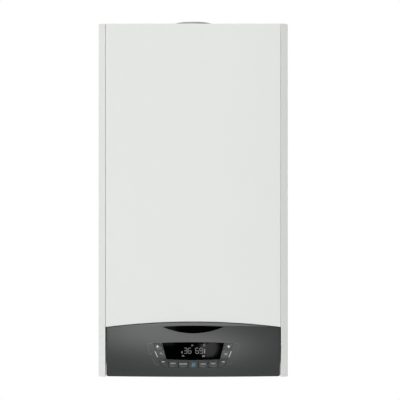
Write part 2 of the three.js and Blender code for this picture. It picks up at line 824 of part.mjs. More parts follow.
function exchangerCradle() {
  const floor = chamberFloorHeight + sheet + restGap;
  const half = 70;
  const reach = exchangerRadius + restGap;
  const at = (angle) => [
    exchangerX + reach * Math.sin(angle),
    exchangerHeight - reach * Math.cos(angle),
  ];
  const arm = (side) => {
    const low = at(side * 0.42);
    const high = at(side * 0.72);
    return outline([
      [exchangerX + side * half, floor],
      [exchangerX + side * (half + 3), floor],
      [high[0] + side * 3, high[1]],
      high,
      at(side * 0.57),
      low,
      [low[0] + side * 3.2, low[1] - 3],
    ]);
  };
  const base = block([exchangerX - half, exchangerX + half], [-196, -104], [floor, floor + 2.5]);
  const arms = [-1, 1].map((side) => drawn("y", arm(side), [-196, -104]));
  const drainGap = bar("z", 16, [floor - 1, floor + 6], [trapX, trapY], 12);
  const pipes = [flowX, returnX].map((x) => bar("z", 15, [floor - 1, exchangerHeight], [x, stubY], 12));
  return cut(join(base, arms), drainGap, pipes);
}

function burnerDoor() {
  const rear = exchangerFront - restGap;
  const disc = turned(
    "y",
    [
      [0, doorFront],
      [exchangerRadius - 26, doorFront],
      [exchangerRadius - 20, doorFront + 6],
      [exchangerRadius - 4, doorFront + 6],
      [exchangerRadius - 4, rear],
      [0, rear],
    ],
    [exchangerX, exchangerHeight],
    26,
  );
  const studs = [0, 1, 2, 3, 4, 5].map((i) => {
    const angle = (i * Math.PI) / 3;
    const radius = exchangerRadius - 12;
    const x = exchangerX + radius * Math.cos(angle);
    const z = exchangerHeight + radius * Math.sin(angle);
    return hexNut("y", 11, [doorFront - 2, doorFront + 7], [x, z]);
  });
  const ribs = [0, 1, 2, 3, 4, 5].map((i) => {
    const rib = new THREE.BoxGeometry(exchangerRadius - 50, 4, 4);
    rib.translate((exchangerRadius - 50) / 2 + 26, 0, 0);
    rib.rotateY(((i + 0.5) * Math.PI) / 3);
    return solid(rib.translate(exchangerX, doorFront - 1, exchangerHeight));
  });
  return join(disc, studs, ribs);
}

const ductY = doorFront - 26;
const spoutX = fanX - spoutOffset;
const spoutEnd = fanHeight - spoutDrop;
const spoutMiddle = fanY - fanDepth / 2;

// A rectangle with round corners about the origin.
function roundedRectangle(halfWide, halfHigh, corner) {
  const shape = new THREE.Shape();
  shape.moveTo(-halfWide, -halfHigh + corner);
  shape.quadraticCurveTo(-halfWide, -halfHigh, -halfWide + corner, -halfHigh);
  shape.lineTo(halfWide - corner, -halfHigh);
  shape.quadraticCurveTo(halfWide, -halfHigh, halfWide, -halfHigh + corner);
  shape.lineTo(halfWide, halfHigh - corner);
  shape.quadraticCurveTo(halfWide, halfHigh, halfWide - corner, halfHigh);
  shape.lineTo(-halfWide + corner, halfHigh);
  shape.quadraticCurveTo(-halfWide, halfHigh, -halfWide, halfHigh - corner);
  return shape;
}

function mixtureDuct() {
  const top = spoutEnd - restGap;
  const path = route(
    [
      [spoutX, spoutMiddle, top],
      [spoutX, spoutMiddle, spoutEnd - 22],
      [spoutX, ductY, spoutEnd - 38],
      [exchangerX, ductY, exchangerHeight],
      [exchangerX, doorFront - restGap, exchangerHeight],
    ],
    22,
  );
  const options = { extrudePath: path, steps: 12, bevelEnabled: false, curveSegments: 2 };
  const duct = solid(new THREE.ExtrudeGeometry(roundedRectangle(17, 14, 7), options));
  const topFlange = block(
    [spoutX - 21, spoutX + 21],
    [spoutMiddle - 20, spoutMiddle + 20],
    [top - 4, top],
  );
  const doorEnd = doorFront - restGap;
  const doorFlange = bar("y", 24, [doorEnd - 5, doorEnd], [exchangerX, exchangerHeight], 18);
  return join(duct, topFlange, doorFlange);
}

// The scroll of the fan: a wall that draws away from the impeller in one turn, up to the outlet.
function scroll(wall) {
  const points = [];
  const steps = 26;
  for (let i = 0; i <= steps; i += 1) {
    const angle = Math.PI * (1 + (2 * i) / steps);
    const radius = impellerRadius + 5 + (14 * i) / steps + wall;
    points.push([radius * Math.cos(angle), radius * Math.sin(angle)]);
  }
  return outline(points);
}

function fanHousing() {
  const rear = fanY;
  const front = fanY - fanDepth;
  const spoutHalf = 16;
  const body = drawn("y", scroll(tubeWall), [front, rear]);
  const outerHalf = spoutHalf + tubeWall;
  const spout = block(
    [-spoutOffset - outerHalf, -spoutOffset + outerHalf],
    [front, rear],
    [-spoutDrop, 10],
  );
  const pocket = drawn("y", scroll(0), [front + tubeWall, rear + 1]);
  const channel = block(
    [-spoutOffset - spoutHalf, -spoutOffset + spoutHalf],
    [front + tubeWall, rear - tubeWall],
    [-spoutDrop - 1, 8],
  );
  const collar = bar("y", fanInlet + 4, [front - 6, front + 1], [0, 0], 18);
  const inlet = bar("y", fanInlet, [front - 7, front + tubeWall + 1], [0, 0], 18);
  return cut(join(body, spout, collar), pocket, channel, inlet);
}

function fanMotor() {
  const face = fanY + restGap;
  const flange = drawn("y", scroll(tubeWall), [face, face + 3]);
  const canProfile = [
    [0, face + 1],
    [36, face + 1],
    [36, face + 30],
    [30, face + 38],
    [0, face + 38],
  ];
  const can = turned("y", canProfile, [0, 0], 20);
  const bearing = bar("y", shaftRadius + shaftClearance, [face - 1, face + 30], [0, 0], 12);
  const socket = block([-12, 12], [face + 10, face + 28], [30, 46]);
  return cut(join(flange, can, socket), bearing);
}

function fanImpeller() {
  const rear = fanY - 4;
  const disc = bar("y", impellerRadius, [rear - 2, rear], [0, 0], 20);
  const hub = bar("y", 10, [rear - 14, rear], [0, 0], 12);
  const shaft = bar("y", shaftRadius, [rear - 1, fanY + 24], [0, 0], 12);
  const blades = [];
  for (let i = 0; i < bladeCount; i += 1) {
    const blade = new THREE.Shape();
    blade.absarc(12, 0, 24, -0.35, 1.1, false);
    blade.absarc(12, 0, 22.4, 1.1, -0.35, true);
    const options = { depth: 26, bevelEnabled: false, curveSegments: 4 };
    const geometry = new THREE.ExtrudeGeometry(blade, options).rotateX(Math.PI / 2);
    geometry.translate(8, rear - 1, 0);
    blades.push(solid(geometry.rotateY((i / bladeCount) * Math.PI * 2)));
  }
  const limit = bar("y", impellerRadius, [rear - 40, rear + 1], [0, 0], 20);
  return join(disc, hub, shaft, join(blades).intersect(limit));
}

function venturiMixer() {
  const profile = [
    [mixerRadius - 3, mixerFront],
    [mixerFlange - 1, mixerFront],
    [mixerFlange - 1, mixerFront + 5],
    [mixerRadius, mixerFront + 7],
    [mixerRadius, inletFace - 6],
    [mixerFlange, inletFace - 6],
    [mixerFlange, inletFace],
    [mixerThroat + 4, inletFace],
    [mixerThroat, inletFace - 12],
    [mixerRadius - 3, mixerFront],
  ];
  const body = turned("y", profile, [0, 0], 20);
  const inside = bar("y", mixerRadius - 2, [mixerFront - 1, inletFace + 1], [0, 0], 18);
  const gasBoss = bar("z", gasRadius + 2, [-mixerGasDrop, -18], [0, gasRiseY], 12);
  return join(body, cut(gasBoss, inside));
}

// A flat drum over the mixer with an intake tube that runs across in front of the flue.
function airSilencer() {
  const face = mixerFront - restGap;
  const tubeY = face - intakeRadius - 3;
  const drum = bar("y", silencerRadius, [face - silencerDepth, face], [0, 0], 18);
  const tube = bar("x", intakeRadius, [-intakeReach, 0], [tubeY, 0], 12);
  const drumSpan = [face - silencerDepth + tubeWall, face + 1];
  const drumHollow = bar("y", silencerRadius - tubeWall, drumSpan, [0, 0], 18);
  const tubeHollow = bar("x", intakeRadius - tubeWall, [-intakeReach - 1, 0], [tubeY, 0], 12);
  return cut(join(drum, tube), drumHollow, tubeHollow);
}

const valveTop = fanHeight - 72;
const valveInlet = 12; // nut below the gas valve

function gasValve() {
  const y = gasRiseY;
  const base = valveTop - valveHeight;
  const body = block([-valveHalf, valveHalf], [y - 22, y + 24], [base, valveTop]);
  const coils = [-1, 1].map((s) => bar("z", 11, [valveTop - 1, valveTop + 20], [s * 22, y + 8], 12));
  const outletEnd = fanHeight - mixerGasDrop - restGap;
  const outlet = bar("z", gasRadius, [valveTop - 1, outletEnd], [0, y], 12);
  const inlet = hexNut("z", 24, [base - valveInlet, base + 1], [0, y]);
  const adjuster = bar("y", 7, [y - 28, y - 20], [16, valveTop - 24], 14);
  const regulator = bar("y", 18, [y - 34, y - 20], [-8, valveTop - 48], 14);
  return join(body, coils, outlet, inlet, adjuster, regulator);
}

function gasPipe() {
  const level = chamberFloorHeight - 36;
  const outside = bar("z", stubRadius, [-stubDrop, 36], [0, stubY], 14);
  const nut = hexNut("z", tailNut, tailNutSpan, [0, stubY]);
  const bore = bar("z", stubBore, [-stubDrop - 1, 22], [0, stubY], 12);
  const run = pipe(
    [
      [0, stubY, 30],
      [0, stubY, level],
      [fanX, gasRiseY, level],
      [fanX, gasRiseY, valveTop - valveHeight - valveInlet - restGap],
    ],
    gasRadius,
    22,
    8,
    18,
  );
  return join(cut(join(outside, nut), bore), run);
}

function ignitionElectrode() {
  const rear = doorFront + 6 - restGap;
  const z = exchangerHeight - exchangerRadius + 12;
  const plate = block([exchangerX - 14, exchangerX + 14], [rear - 3, rear], [z - 7, z + 7]);
  const rods = [-7, 7].map((dx) => bar("y", 3.5, [rear - 26, rear - 1], [exchangerX + dx, z], 12));
  return join(plate, rods);
}

const collarBase = roofTop + restGap + gasketThickness + restGap;
const collarTop = collarBase + collarThickness + collarHeight;

function flueDuct() {
  const low = flueSeat + restGap;
  const sides = 20;
  const tube = bar("z", flueRadius, [low, collarTop - 5], [0, flueY], sides);
  const foot = bar("z", flueRadius + 8, [low, low + 6], [0, flueY], sides);
  const socket = bar("z", flueRadius - 1.5, [collarTop - 45, collarTop], [0, flueY], sides);
  return cut(join(tube, foot), socket);
}

// The square plate with a round bore that both the collar's flange and its gasket have.
function collarPlate(thickness) {
  const half = collarFlange / 2;
  const plate = drawn("z", roundedRectangle(half, half, collarCorner), [0, thickness], 4);
  return cut(plate, bar("z", collarRadius - collarWall, [-1, thickness + 1], [0, 0], 28));
}

function flueGasket() {
  return collarPlate(gasketThickness);
}

const plugPlace = collarFlange / 2 - 13;
const plugRadius = 5;

function flueCollar() {
  const bore = collarRadius - collarWall;
  const top = collarThickness + collarHeight;
  const spigot = cut(
    bar("z", collarRadius, [collarThickness - 1, top], [0, 0], 28),
    bar("z", bore, [collarThickness - 2, top + 1], [0, 0], 28),
  );
  const boss = cut(
    bar("z", plugRadius + 3, [2, 8], [plugPlace, plugPlace], 12),
    bar("z", plugRadius - 1, [3.5, 9], [plugPlace, plugPlace], 12),
  );
  const corners = [
    [-plugPlace, -plugPlace],
    [plugPlace, -plugPlace],
    [-plugPlace, plugPlace],
  ];
  const screws = corners.map((corner) => hexNut("z", 7, [2.5, 6], corner));
  return join(collarPlate(collarThickness), spigot, boss, screws);
}

function samplingPlug() {
  return join(
    bar("z", plugRadius - 1 - restGap, [-3, 1], [0, 0], 12),
    bar("z", plugRadius + 2, [0, 5], [0, 0], 16, plugRadius),
  );
}

const vesselRear = -sheet - ribDepth - restGap;

function expansionVessel() {
  const front = -vesselDepth;
  const seamPlace = -vesselDepth / 2;
  const body = turned(
    "y",
    [
      [0, 0],
      [vesselRadius - 26, 0],
      [vesselRadius - 8, -8],
      [vesselRadius - 2, -20],
      [vesselRadius - 2, seamPlace + 4],
      [vesselRadius + 3, seamPlace + 4],
      [vesselRadius + 3, seamPlace - 4],
      [vesselRadius - 2, seamPlace - 4],
      [vesselRadius - 2, front + 20],
      [vesselRadius - 10, front + 7],
      [vesselRadius - 30, front],
      [0, front],
    ],
    [0, 0],
    28,
  );
  const dx = hoseX;
  const drop = Math.sqrt(vesselRadius ** 2 - dx ** 2);
  const tail = bar("z", 9, [-drop - 14, -drop + 12], [dx, hoseY - vesselRear], 12);
  const filler = bar("y", 6, [front - 5, front + 2], [0, vesselRadius * 0.55], 12);
  return join(body, tail, filler);
}

function vesselHose() {
  const drop = Math.sqrt(vesselRadius ** 2 - hoseX ** 2);
  const top = vesselHeight - drop - 14 - restGap;
  return pipe(
    [
      [hoseX, hoseY, top],
      [hoseX, hoseY, 190],
      [-30, -100, 176],
      [36, -100, 168],
      [hoseBossX, stubY, 150],
      [hoseBossX, stubY, hoseBossTop + restGap],
    ],
    hoseRadius,
    26,
    6,
    18,
  );
}

// ---------------------------------------------------------------- hydraulics
function tail(x, boreTop) {
  const body = bar("z", stubRadius, [-stubDrop, groupHeight], [x, stubY], 14);
  const nut = hexNut("z", tailNut, tailNutSpan, [x, stubY]);
  return cut(join(body, nut), bar("z", stubBore, [-stubDrop - 1, boreTop], [x, stubY], 12));
}

const portX = stubPitch;
const portRadius = 11;
const riserRadius = 12;
const flowRiseTop = groupHeight + 30;
const exchangerPortEnd = stubY + 32;

// The level brass tube that a group of fittings is built on.
function groupTube(from, to) {
  return bar("x", groupRadius, [from, to], [stubY, groupHeight], 14);
}

const diverterTop = groupHeight + 30;
const chamberBore = shaftRadius + shaftClearance;

function flowGroup() {
  const tube = groupTube(diverterX, -stubPitch + 18);
  const tails = [tail(-2 * stubPitch, 40), tail(-stubPitch, 40)];
  const port = bar("y", portRadius, [stubY, exchangerPortEnd], [-portX, groupHeight], 12);
  const rise = bar("z", riserRadius, [groupHeight, flowRiseTop], [flowX, stubY], 12);
  const chamber = bar("z", diverterRadius, [groupHeight - 34, diverterTop], [diverterX, stubY], 18);
  const bore = bar("z", chamberBore, [groupHeight - 20, diverterTop + 1], [diverterX, stubY], 12);
  return cut(join(tube, tails, port, rise, chamber), bore);
}

const returnRise = pumpHeight + pumpRadius + 4;
const returnRiseX = 92;
const ventX = 148;
const ventRise = 42; // from the pump's axis up to the air vent
const hoseBossX = 46;
const hoseBossTop = groupHeight + groupRadius + 12;
const turbineLow = 58;
const turbineHigh = 68;

function returnGroup() {
  const tube = groupTube(fillingX - 8, 2 * stubPitch + 14);
  const tails = [tail(stubPitch, turbineHigh + 4), tail(2 * stubPitch, 40)];
  // Two crossed bars in the cold water bore carry the lower end of the turbine's axle.
  const spider = [
    block([stubPitch - stubBore - 1, stubPitch + stubBore + 1], [stubY - 1.2, stubY + 1.2], [50, 54]),
    block([stubPitch - 1.2, stubPitch + 1.2], [stubY - stubBore - 1, stubY + stubBore + 1], [50, 54]),
    bar("z", 3, [50, 54], [stubPitch, stubY], 12),
  ];
  const axle = bar("z", 1.3, [49, turbineHigh + 8], [stubPitch, stubY], 12);
  const port = bar("y", portRadius, [stubY, exchangerPortEnd], [portX, groupHeight], 12);
  const volute = bar("y", pumpRadius, [stubY - 18, stubY + 18], [pumpX, pumpHeight], 20);
  const pocket = bar("y", rotorRadius + 1.5, [stubY - 19, stubY - 4], [pumpX, pumpHeight], 18);
  const rise = bar("z", riserRadius, [groupHeight, returnRise], [returnRiseX, stubY], 12);
  const ventBoss = bar("z", 11, [pumpHeight, pumpHeight + ventRise], [ventX, stubY + 6], 12);
  const hoseBoss = bar("z", 9, [groupHeight, hoseBossTop], [hoseBossX, stubY], 12);
  const safety = bar("z", 10, [bottomFrameHeight - 4, groupHeight], [safetyX, stubY], 12);
  const filling = bar("z", 9, [bottomFrameHeight - 4, groupHeight], [fillingX, stubY], 12);
  const spindles = [safetyX, fillingX].map((x) =>
    bar("z", 4, [24, bottomFrameHeight], [x, stubY], 12),
  );
  const fittings = [port, volute, rise, ventBoss, hoseBoss, safety, filling];
  return cut(join(tube, tails, spider, fittings, spindles), pocket, axle);
}

function flowTurbine() {
  const hub = bar("z", 2.6, [turbineLow, turbineHigh], [0, 0], 12);
  const axle = bar("z", 1, [51, turbineHigh + 6], [0, 0], 12);
  const vanes = [0, 1, 2, 3].map((i) => {
    const vane = new THREE.BoxGeometry(stubBore - 2, 1, turbineHigh - turbineLow - 2);
    vane.translate((stubBore - 2) / 2 + 1, 0, 0).rotateX(0.5).rotateZ((i * Math.PI) / 2);
    return solid(vane.translate(0, 0, (turbineLow + turbineHigh) / 2));
  });
  const limit = bar("z", stubBore - 0.8, [turbineLow, turbineHigh], [0, 0], 14);
  return join(hub, axle, join(vanes).intersect(limit));
}

const motorFace = stubY - 18 - restGap;
const motorLength = 72;

function pumpMotor() {
  const front = motorFace - motorLength;
  const flange = bar("y", pumpRadius, [motorFace - 5, motorFace], [0, 0], 20);
  const can = turned(
    "y",
    [[0, front], [28, front], [34, front + 6], [34, motorFace - 4], [0, motorFace - 4]],
    [0, 0],
    20,
  );
  const box = block([-26, 26], [front + 12, motorFace - 14], [20, 48]);
  const bearing = bar("y", shaftRadius + shaftClearance, [front + 16, motorFace + 1], [0, 0], 12);
  return cut(join(flange, can, box), bearing);
}

function pumpRotor() {
  const face = motorFace + restGap + 1.4;
  const disc = bar("y", rotorRadius, [face, face + 2], [0, 0], 18);
  const shaft = bar("y", shaftRadius, [motorFace - motorLength + 20, face + 1], [0, 0], 12);
  const hub = bar("y", 8, [face, face + 9], [0, 0], 12);
  const vanes = [0, 1, 2, 3, 4, 5].map((i) => {
    const vane = new THREE.Shape();
    vane.absarc(8, 0, 14, -0.2, 1.2, false);
    vane.absarc(8, 0, 12.6, 1.2, -0.2, true);
    const options = { depth: 8, bevelEnabled: false, curveSegments: 4 };
    const geometry = new THREE.ExtrudeGeometry(vane, options).rotateX(Math.PI / 2);
    geometry.translate(2, face + 9, 0);
    return solid(geometry.rotateY((i * Math.PI) / 3));
  });
  const limit = bar("y", rotorRadius, [face - 1, face + 12], [0, 0], 18);
  return join(disc, shaft, hub, join(vanes).intersect(limit));
}

function plateExchanger() {
  const front = exchangerPortEnd + restGap;
  const plates = 8;
  const pitch = 6;
  const low = groupHeight - 36;
  const high = groupHeight + 36;
  const land = 0.6 * pitch; // where two plates are joined, between two grooves
  const points = [];
  for (let i = 0; i < plates; i += 1) {
    const y = front + i * pitch;
    points.push([y, high], [y + land, high], [y + land, high - 3], [y + pitch, high - 3]);
  }
  const top = points.slice(0, -2);
  const bottom = top.map(([y, z]) => [y, low + high - z]).reverse();
  return drawn("x", outline([...top, ...bottom]), [-portX - 26, portX + 26]);
}

function diverterMotor() {
  const low = diverterTop + restGap;
  const profile = [
    [0, low],
    [20, low],
    [20, low + 8],
    [17, low + 10],
    [17, low + 44],
    [13, low + 48],
    [0, low + 48],
  ];
  const body = turned("z", profile, [0, 0], 18);
  const socket = block([-8, 8], [-26, -14], [low + 14, low + 34]);
  const bore = bar("z", chamberBore, [low - 1, low + 30 + diverterTravel + 4], [0, 0], 12);
  return cut(join(body, socket), bore);
}

function diverterStem() {
  return bar("z", shaftRadius, [groupHeight - 20 + restGap, diverterTop + 30], [0, 0], 12);
}

function knob(lobes) {
  const shape = new THREE.Shape();
  const count = lobes * 6;
  for (let i = 0; i < count; i += 1) {
    const angle = (i / count) * Math.PI * 2;
    const radius = knobRadius - 0.9 + 0.9 * Math.cos(lobes * angle);
    const u = radius * Math.cos(angle);
    const v = radius * Math.sin(angle);
    if (i === 0) shape.moveTo(u, v);
    else shape.lineTo(u, v);
  }
  const grip = drawn("z", shape, [18, bottomFrameHeight - 6]);
  return cut(grip, bar("z", 4 + shaftClearance, [24 - restGap, bottomFrameHeight], [0, 0], 12));
}

function airVent() {
  const low = pumpHeight + ventRise + restGap;
  return turned(
    "z",
    [[0, low], [13, low], [13, low + 26], [9, low + 30], [5, low + 30], [5, low + 38], [0, low + 38]],
    [0, 0],
    20,
  );
}

function condensateTrap() {
  const drainEnd = dropAt(0) - drainLength - restGap;
  const cupRing = trapBottom + 24; // where the trap's cup screws on
  const profile = [
    [0, 8],
    [drainRadius - 2, 8],
    [drainRadius, 12],
    [drainRadius, trapBottom],
    [trapRadius - 8, trapBottom + 4],
    [trapRadius, trapBottom + 12],
    [trapRadius, cupRing],
    [trapRadius + 3, cupRing],
    [trapRadius + 3, cupRing + 8],
    [trapRadius, cupRing + 8],
    [trapRadius, trapTop - 10],
    [trapRadius - 8, trapTop - 2],
    [drainRadius, trapTop],
    [drainRadius, drainEnd],
    [0, drainEnd],
  ];
  return turned("z", profile, [0, 0], 18);
}

const pipeNutLength = 12;

function pipeNut(low, x) {
  return hexNut("z", 20, [low, low + pipeNutLength], [x, stubY]);
}

function flowPipe() {
  const top = dropAt(flowX - exchangerX) - portLength - restGap;
  const low = flowRiseTop + restGap;
  const tube = bar("z", risePipeRadius, [low, top], [flowX, stubY], 14);
  return join(tube, pipeNut(low, flowX), pipeNut(top - pipeNutLength, flowX));
}

function returnPipe() {
  const top = dropAt(returnX - exchangerX) - portLength - restGap;
  const low = returnRise + restGap;
  const run = pipe(
    [
      [returnX, stubY, top],
      [returnX, stubY, 222],
      [returnRiseX, stubY, 180],
      [returnRiseX, stubY, low],
    ],
    risePipeRadius,
    20,
    8,
    12,
  );
  return join(run, pipeNut(low, returnRiseX), pipeNut(top - pipeNutLength, returnX));
}

function cableGland() {
  const under = bottomFrameHeight;
  const body = join(
    bar("z", glandRadius, [under - 4, under + 6], [0, 0], 14),
    hexNut("z", 22, [under - 6, under - restGap], [0, 0]),
    hexNut("z", 22, [under + sheet + restGap, under + 6], [0, 0]),
    bar("z", 7.5, [under - 16, under - 5], [0, 0], 20, 10),
  );
  return cut(body, bar("z", 4.5, [under - 20, under + 10], [0, 0], 12));
}

// ---------------------------------------------------------------- assembly
const casing = new THREE.Group();
place(casing, "rear_frame", rearFrame(), zincSteel);
place(casing, "side_panel_left", sidePanel(-1), whiteEnamel);
place(casing, "side_panel_right", sidePanel(1), whiteEnamel);
place(casing, "top_panel", topPanel(), whiteEnamel);
place(casing, "bottom_frame", bottomFrame(), zincSteel);
place(casing, "chamber_floor", chamberFloor(), zincSteel);
place(casing, "front_cover", frontCover(), whiteEnamel);
place(casing, "cover_seal", coverSeal(), rubber);
boiler.add(casing);

const controlPanel = new THREE.Group();
place(controlPanel, "fascia", fascia(), graphitePlastic);
place(controlPanel, "control_box", controlBox(), blackPlastic);
place(controlPanel, "display_window", displayWindow(), blackGloss);
place(controlPanel, "badge_inlay", badgeInlay(), blackGloss);
place(controlPanel, "lcd_module", lcdModule(), blackPlastic);
place(controlPanel, "main_board", mainBoard(), boardGreen);
place(controlPanel, "keypad_mat", keypadMat(), rubber);
for (const [name, cell] of Object.entries(cells)) {
  place(controlPanel, name, key(cell), keyPlastic);
}
place(controlPanel, "hinge_bracket_left", hingeBracket(-1), zincSteel);
place(controlPanel, "hinge_bracket_right", hingeBracket(1), zincSteel);
boiler.add(controlPanel);

const combustion = new THREE.Group();
place(combustion, "heat_exchanger", heatExchanger(), stainless);
place(combustion, "exchanger_cradle", exchangerCradle(), zincSteel);
place(combustion, "burner_door", burnerDoor(), castAluminium);
place(combustion, "mixture_duct", mixtureDuct(), castAluminium);
place(combustion, "fan_housing", fanHousing(), castAluminium, [fanX, 0, fanHeight]);
place(combustion, "fan_motor", fanMotor(), blackPlastic, [fanX, 0, fanHeight]);
place(combustion, "fan_impeller", fanImpeller(), greyPlastic, [fanX, 0, fanHeight]);
place(combustion, "venturi_mixer", venturiMixer(), castAluminium, [fanX, 0, fanHeight]);
place(combustion, "air_silencer", airSilencer(), blackPlastic, [fanX, 0, fanHeight]);
place(combustion, "gas_valve", gasValve(), castAluminium, [fanX, 0, 0]);
place(combustion, "gas_pipe", gasPipe(), copper);
place(combustion, "ignition_electrode", ignitionElectrode(), greyPlastic);
place(combustion, "flue_duct", flueDuct(), greyPlastic);
place(combustion, "flue_gasket", flueGasket(), rubber, [0, flueY, roofTop + restGap]);
place(combustion, "flue_collar", flueCollar(), castAluminium, [0, flueY, collarBase]);
place(combustion, "sampling_plug", samplingPlug(), blackPlastic, [
  plugPlace,
  flueY + plugPlace,
  collarBase + 8 + restGap,
]);
place(combustion, "expansion_vessel", expansionVessel(), vesselPaint, [0, vesselRear, vesselHeight]);
place(combustion, "vessel_hose", vesselHose(), stainless);
boiler.add(combustion);

const hydraulics = new THREE.Group();
place(hydraulics, "flow_group", flowGroup(), brass);
place(hydraulics, "return_group", returnGroup(), brass);
place(hydraulics, "flow_turbine", flowTurbine(), greyPlastic, [stubPitch, stubY, 0]);
place(hydraulics, "pump_motor", pumpMotor(), blackPlastic, [pumpX, 0, pumpHeight]);
place(hydraulics, "pump_rotor", pumpRotor(), greyPlastic, [pumpX, 0, pumpHeight]);
place(hydraulics, "plate_exchanger", plateExchanger(), stainless);
place(hydraulics, "diverter_motor", diverterMotor(), blackPlastic, [diverterX, stubY, 0]);
place(hydraulics, "diverter_stem", diverterStem(), stainless, [diverterX, stubY, 0]);
place(hydraulics, "safety_valve_knob", knob(6), knobRed, [safetyX, stubY, 0]);
place(hydraulics, "filling_tap_knob", knob(8), knobBlue, [fillingX, stubY, 0]);
place(hydraulics, "air_vent", airVent(), blackPlastic, [ventX, stubY + 6, 0]);
place(hydraulics, "condensate_trap", condensateTrap(), greyPlastic, [trapX, trapY, 0]);
place(hydraulics, "flow_pipe", flowPipe(), copper);
place(hydraulics, "return_pipe", returnPipe(), copper);
place(hydraulics, "cable_gland", cableGland(), blackPlastic, [glandX, glandY, 0]);
boiler.add(hydraulics);

const root = new THREE.Group();
root.add(boiler);
export default root;
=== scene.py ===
# %% [markdown]
# # A wall-hung boiler, dressed for its portrait
#
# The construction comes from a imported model: every sheet, pipe and key already stands in its place.
# This notebook gives it its looks. The pieces that face the room (cover, side panels, control panel,
# window, keys) are modelled again as fine mouldings with rounded rims, and everything behind them
# keeps its own mesh and gets a finish.

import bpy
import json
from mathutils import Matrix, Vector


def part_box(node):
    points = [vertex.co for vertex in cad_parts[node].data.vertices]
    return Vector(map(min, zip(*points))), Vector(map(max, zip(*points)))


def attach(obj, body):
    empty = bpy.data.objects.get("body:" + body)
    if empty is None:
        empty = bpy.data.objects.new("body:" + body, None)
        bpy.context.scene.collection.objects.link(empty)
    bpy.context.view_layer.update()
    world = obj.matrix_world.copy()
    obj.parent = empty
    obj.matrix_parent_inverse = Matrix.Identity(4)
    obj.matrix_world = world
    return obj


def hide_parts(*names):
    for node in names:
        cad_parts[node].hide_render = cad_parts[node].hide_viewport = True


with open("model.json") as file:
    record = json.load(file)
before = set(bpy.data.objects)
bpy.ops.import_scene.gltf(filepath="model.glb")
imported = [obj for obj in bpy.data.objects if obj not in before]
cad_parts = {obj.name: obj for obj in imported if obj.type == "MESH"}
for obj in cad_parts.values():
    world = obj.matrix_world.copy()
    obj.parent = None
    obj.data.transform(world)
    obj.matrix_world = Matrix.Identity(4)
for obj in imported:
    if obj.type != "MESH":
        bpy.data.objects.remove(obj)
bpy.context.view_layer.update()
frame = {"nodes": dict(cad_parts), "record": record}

# %% What Blender offers
import json
import math

import bmesh
import bpy
import numpy as np
from mathutils import Matrix, Vector
from mathutils.geometry import delaunay_2d_cdt

MM = 0.001


def placed(name, data):
    """A new object, linked into the scene."""
    thing = bpy.data.objects.new(name, data)
    bpy.context.scene.collection.objects.link(thing)
    return thing


def placed_mesh(name, bm):
    """A new object with the built mesh."""
    mesh = bpy.data.meshes.new(name)
    bm.to_mesh(mesh)
    bm.free()
    return placed(name, mesh)


# %% [markdown]
# ## The lines that everything hangs on
#
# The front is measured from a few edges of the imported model, so that a new piece lands where the old
# one was. Heights are counted from the lower edge of the casing, as a fitter would count them.

# %% Measure the front
case_low, case_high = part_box("side_panel_right")
cover_low, cover_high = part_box("front_cover")
fascia_low, fascia_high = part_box("fascia")
window_low, window_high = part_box("display_window")
case_bottom = case_low.z
case_top = case_high.z
case_half = case_high.x
cover_face = cover_low.y
cover_half = cover_high.x
panel_half = fascia_high.x
panel_bottom = fascia_low.z
panel_top = fascia_high.z
panel_front = fascia_low.y
print("casing", round(2 * case_half, 4), "wide and", round(case_top - case_bottom, 4), "high")


def up(millimetres):
    """A height above the lower edge of the casing."""
    return case_bottom + millimetres * MM


# %% [markdown]
# ## Camera
#
# The photograph was taken square on, at half the height of the boiler, with a long lens: the sides
# don't converge, and only a crescent of the flue collar shows above the top edge. So the camera is
# level, about two metres away, and the frame is moved a little sideways with the lens shift rather
# than by turning the camera.

# %% Place the camera
camera_distance = 1.9
frame_width = 0.8428  # what the picture spans at the face of the cover
sensor = 36.0
camera_data = bpy.data.cameras.new("portrait_camera")
camera_data.sensor_width = sensor
camera_data.lens = sensor * camera_distance / frame_width
camera_data.shift_x = 0.017
camera_data.shift_y = 0.0006
camera_data.clip_end = 60.0
camera = placed("portrait_camera", camera_data)
camera.location = (0.0, cover_face - camera_distance, (case_bottom + case_top) / 2)
camera.rotation_euler = (math.radians(90), 0.0, 0.0)
bpy.context.scene.camera = camera
print("lens", round(camera_data.lens, 1), "mm")

# %% [markdown]
# ## Studio
#
# White enamel shows every change of light, so the room is soft: a bright surround that falls off
# to the right, which makes the right-hand bevel of the casing darker than the left one. Straight
# behind the camera, and opposite, the room is dim, since that is what the dark panel and its polished
# window mirror. Beside the camera stands one tall softbox, which brings out the crown of the panel,
# and a narrow strip leaves a soft patch in the window. One large softbox above lights whatever leans
# back. Two more stand behind the plane of the front, for the sides and the back alone. The picture's
# own background is plain white, so what the camera sees directly is white paper.

# %% Light the room
paper_white = 1.0
room_bright = 0.56
room_dark = 0.08
flag_starts = 0.55  # the dark flag to the right begins at this x of a direction
flag_ends = 0.85
dim_width = 0.34  # the dim part behind the camera, as an ellipse of directions
dim_height = 0.50
dim_below = 0.10
dim_level = 0.12
dim_inner = 0.75  # the ellipse's soft edge, as shares of its size
dim_outer = 1.25


def add_node(tree, kind, sockets=None, **settings):
    """Adds a shader node with these settings, and these values on its sockets."""
    made = tree.nodes.new("ShaderNode" + kind)
    for name, value in settings.items():
        setattr(made, name, value)
    for name, value in (sockets or {}).items():
        made.inputs[name].default_value = value
    return made


def eased_step(tree, start, end, before, after):
    """A node that goes softly from one value to another while its input goes from start to end."""
    sockets = {"From Min": start, "From Max": end, "To Min": before, "To Max": after}
    return add_node(tree, "MapRange", sockets, interpolation_type="SMOOTHSTEP")


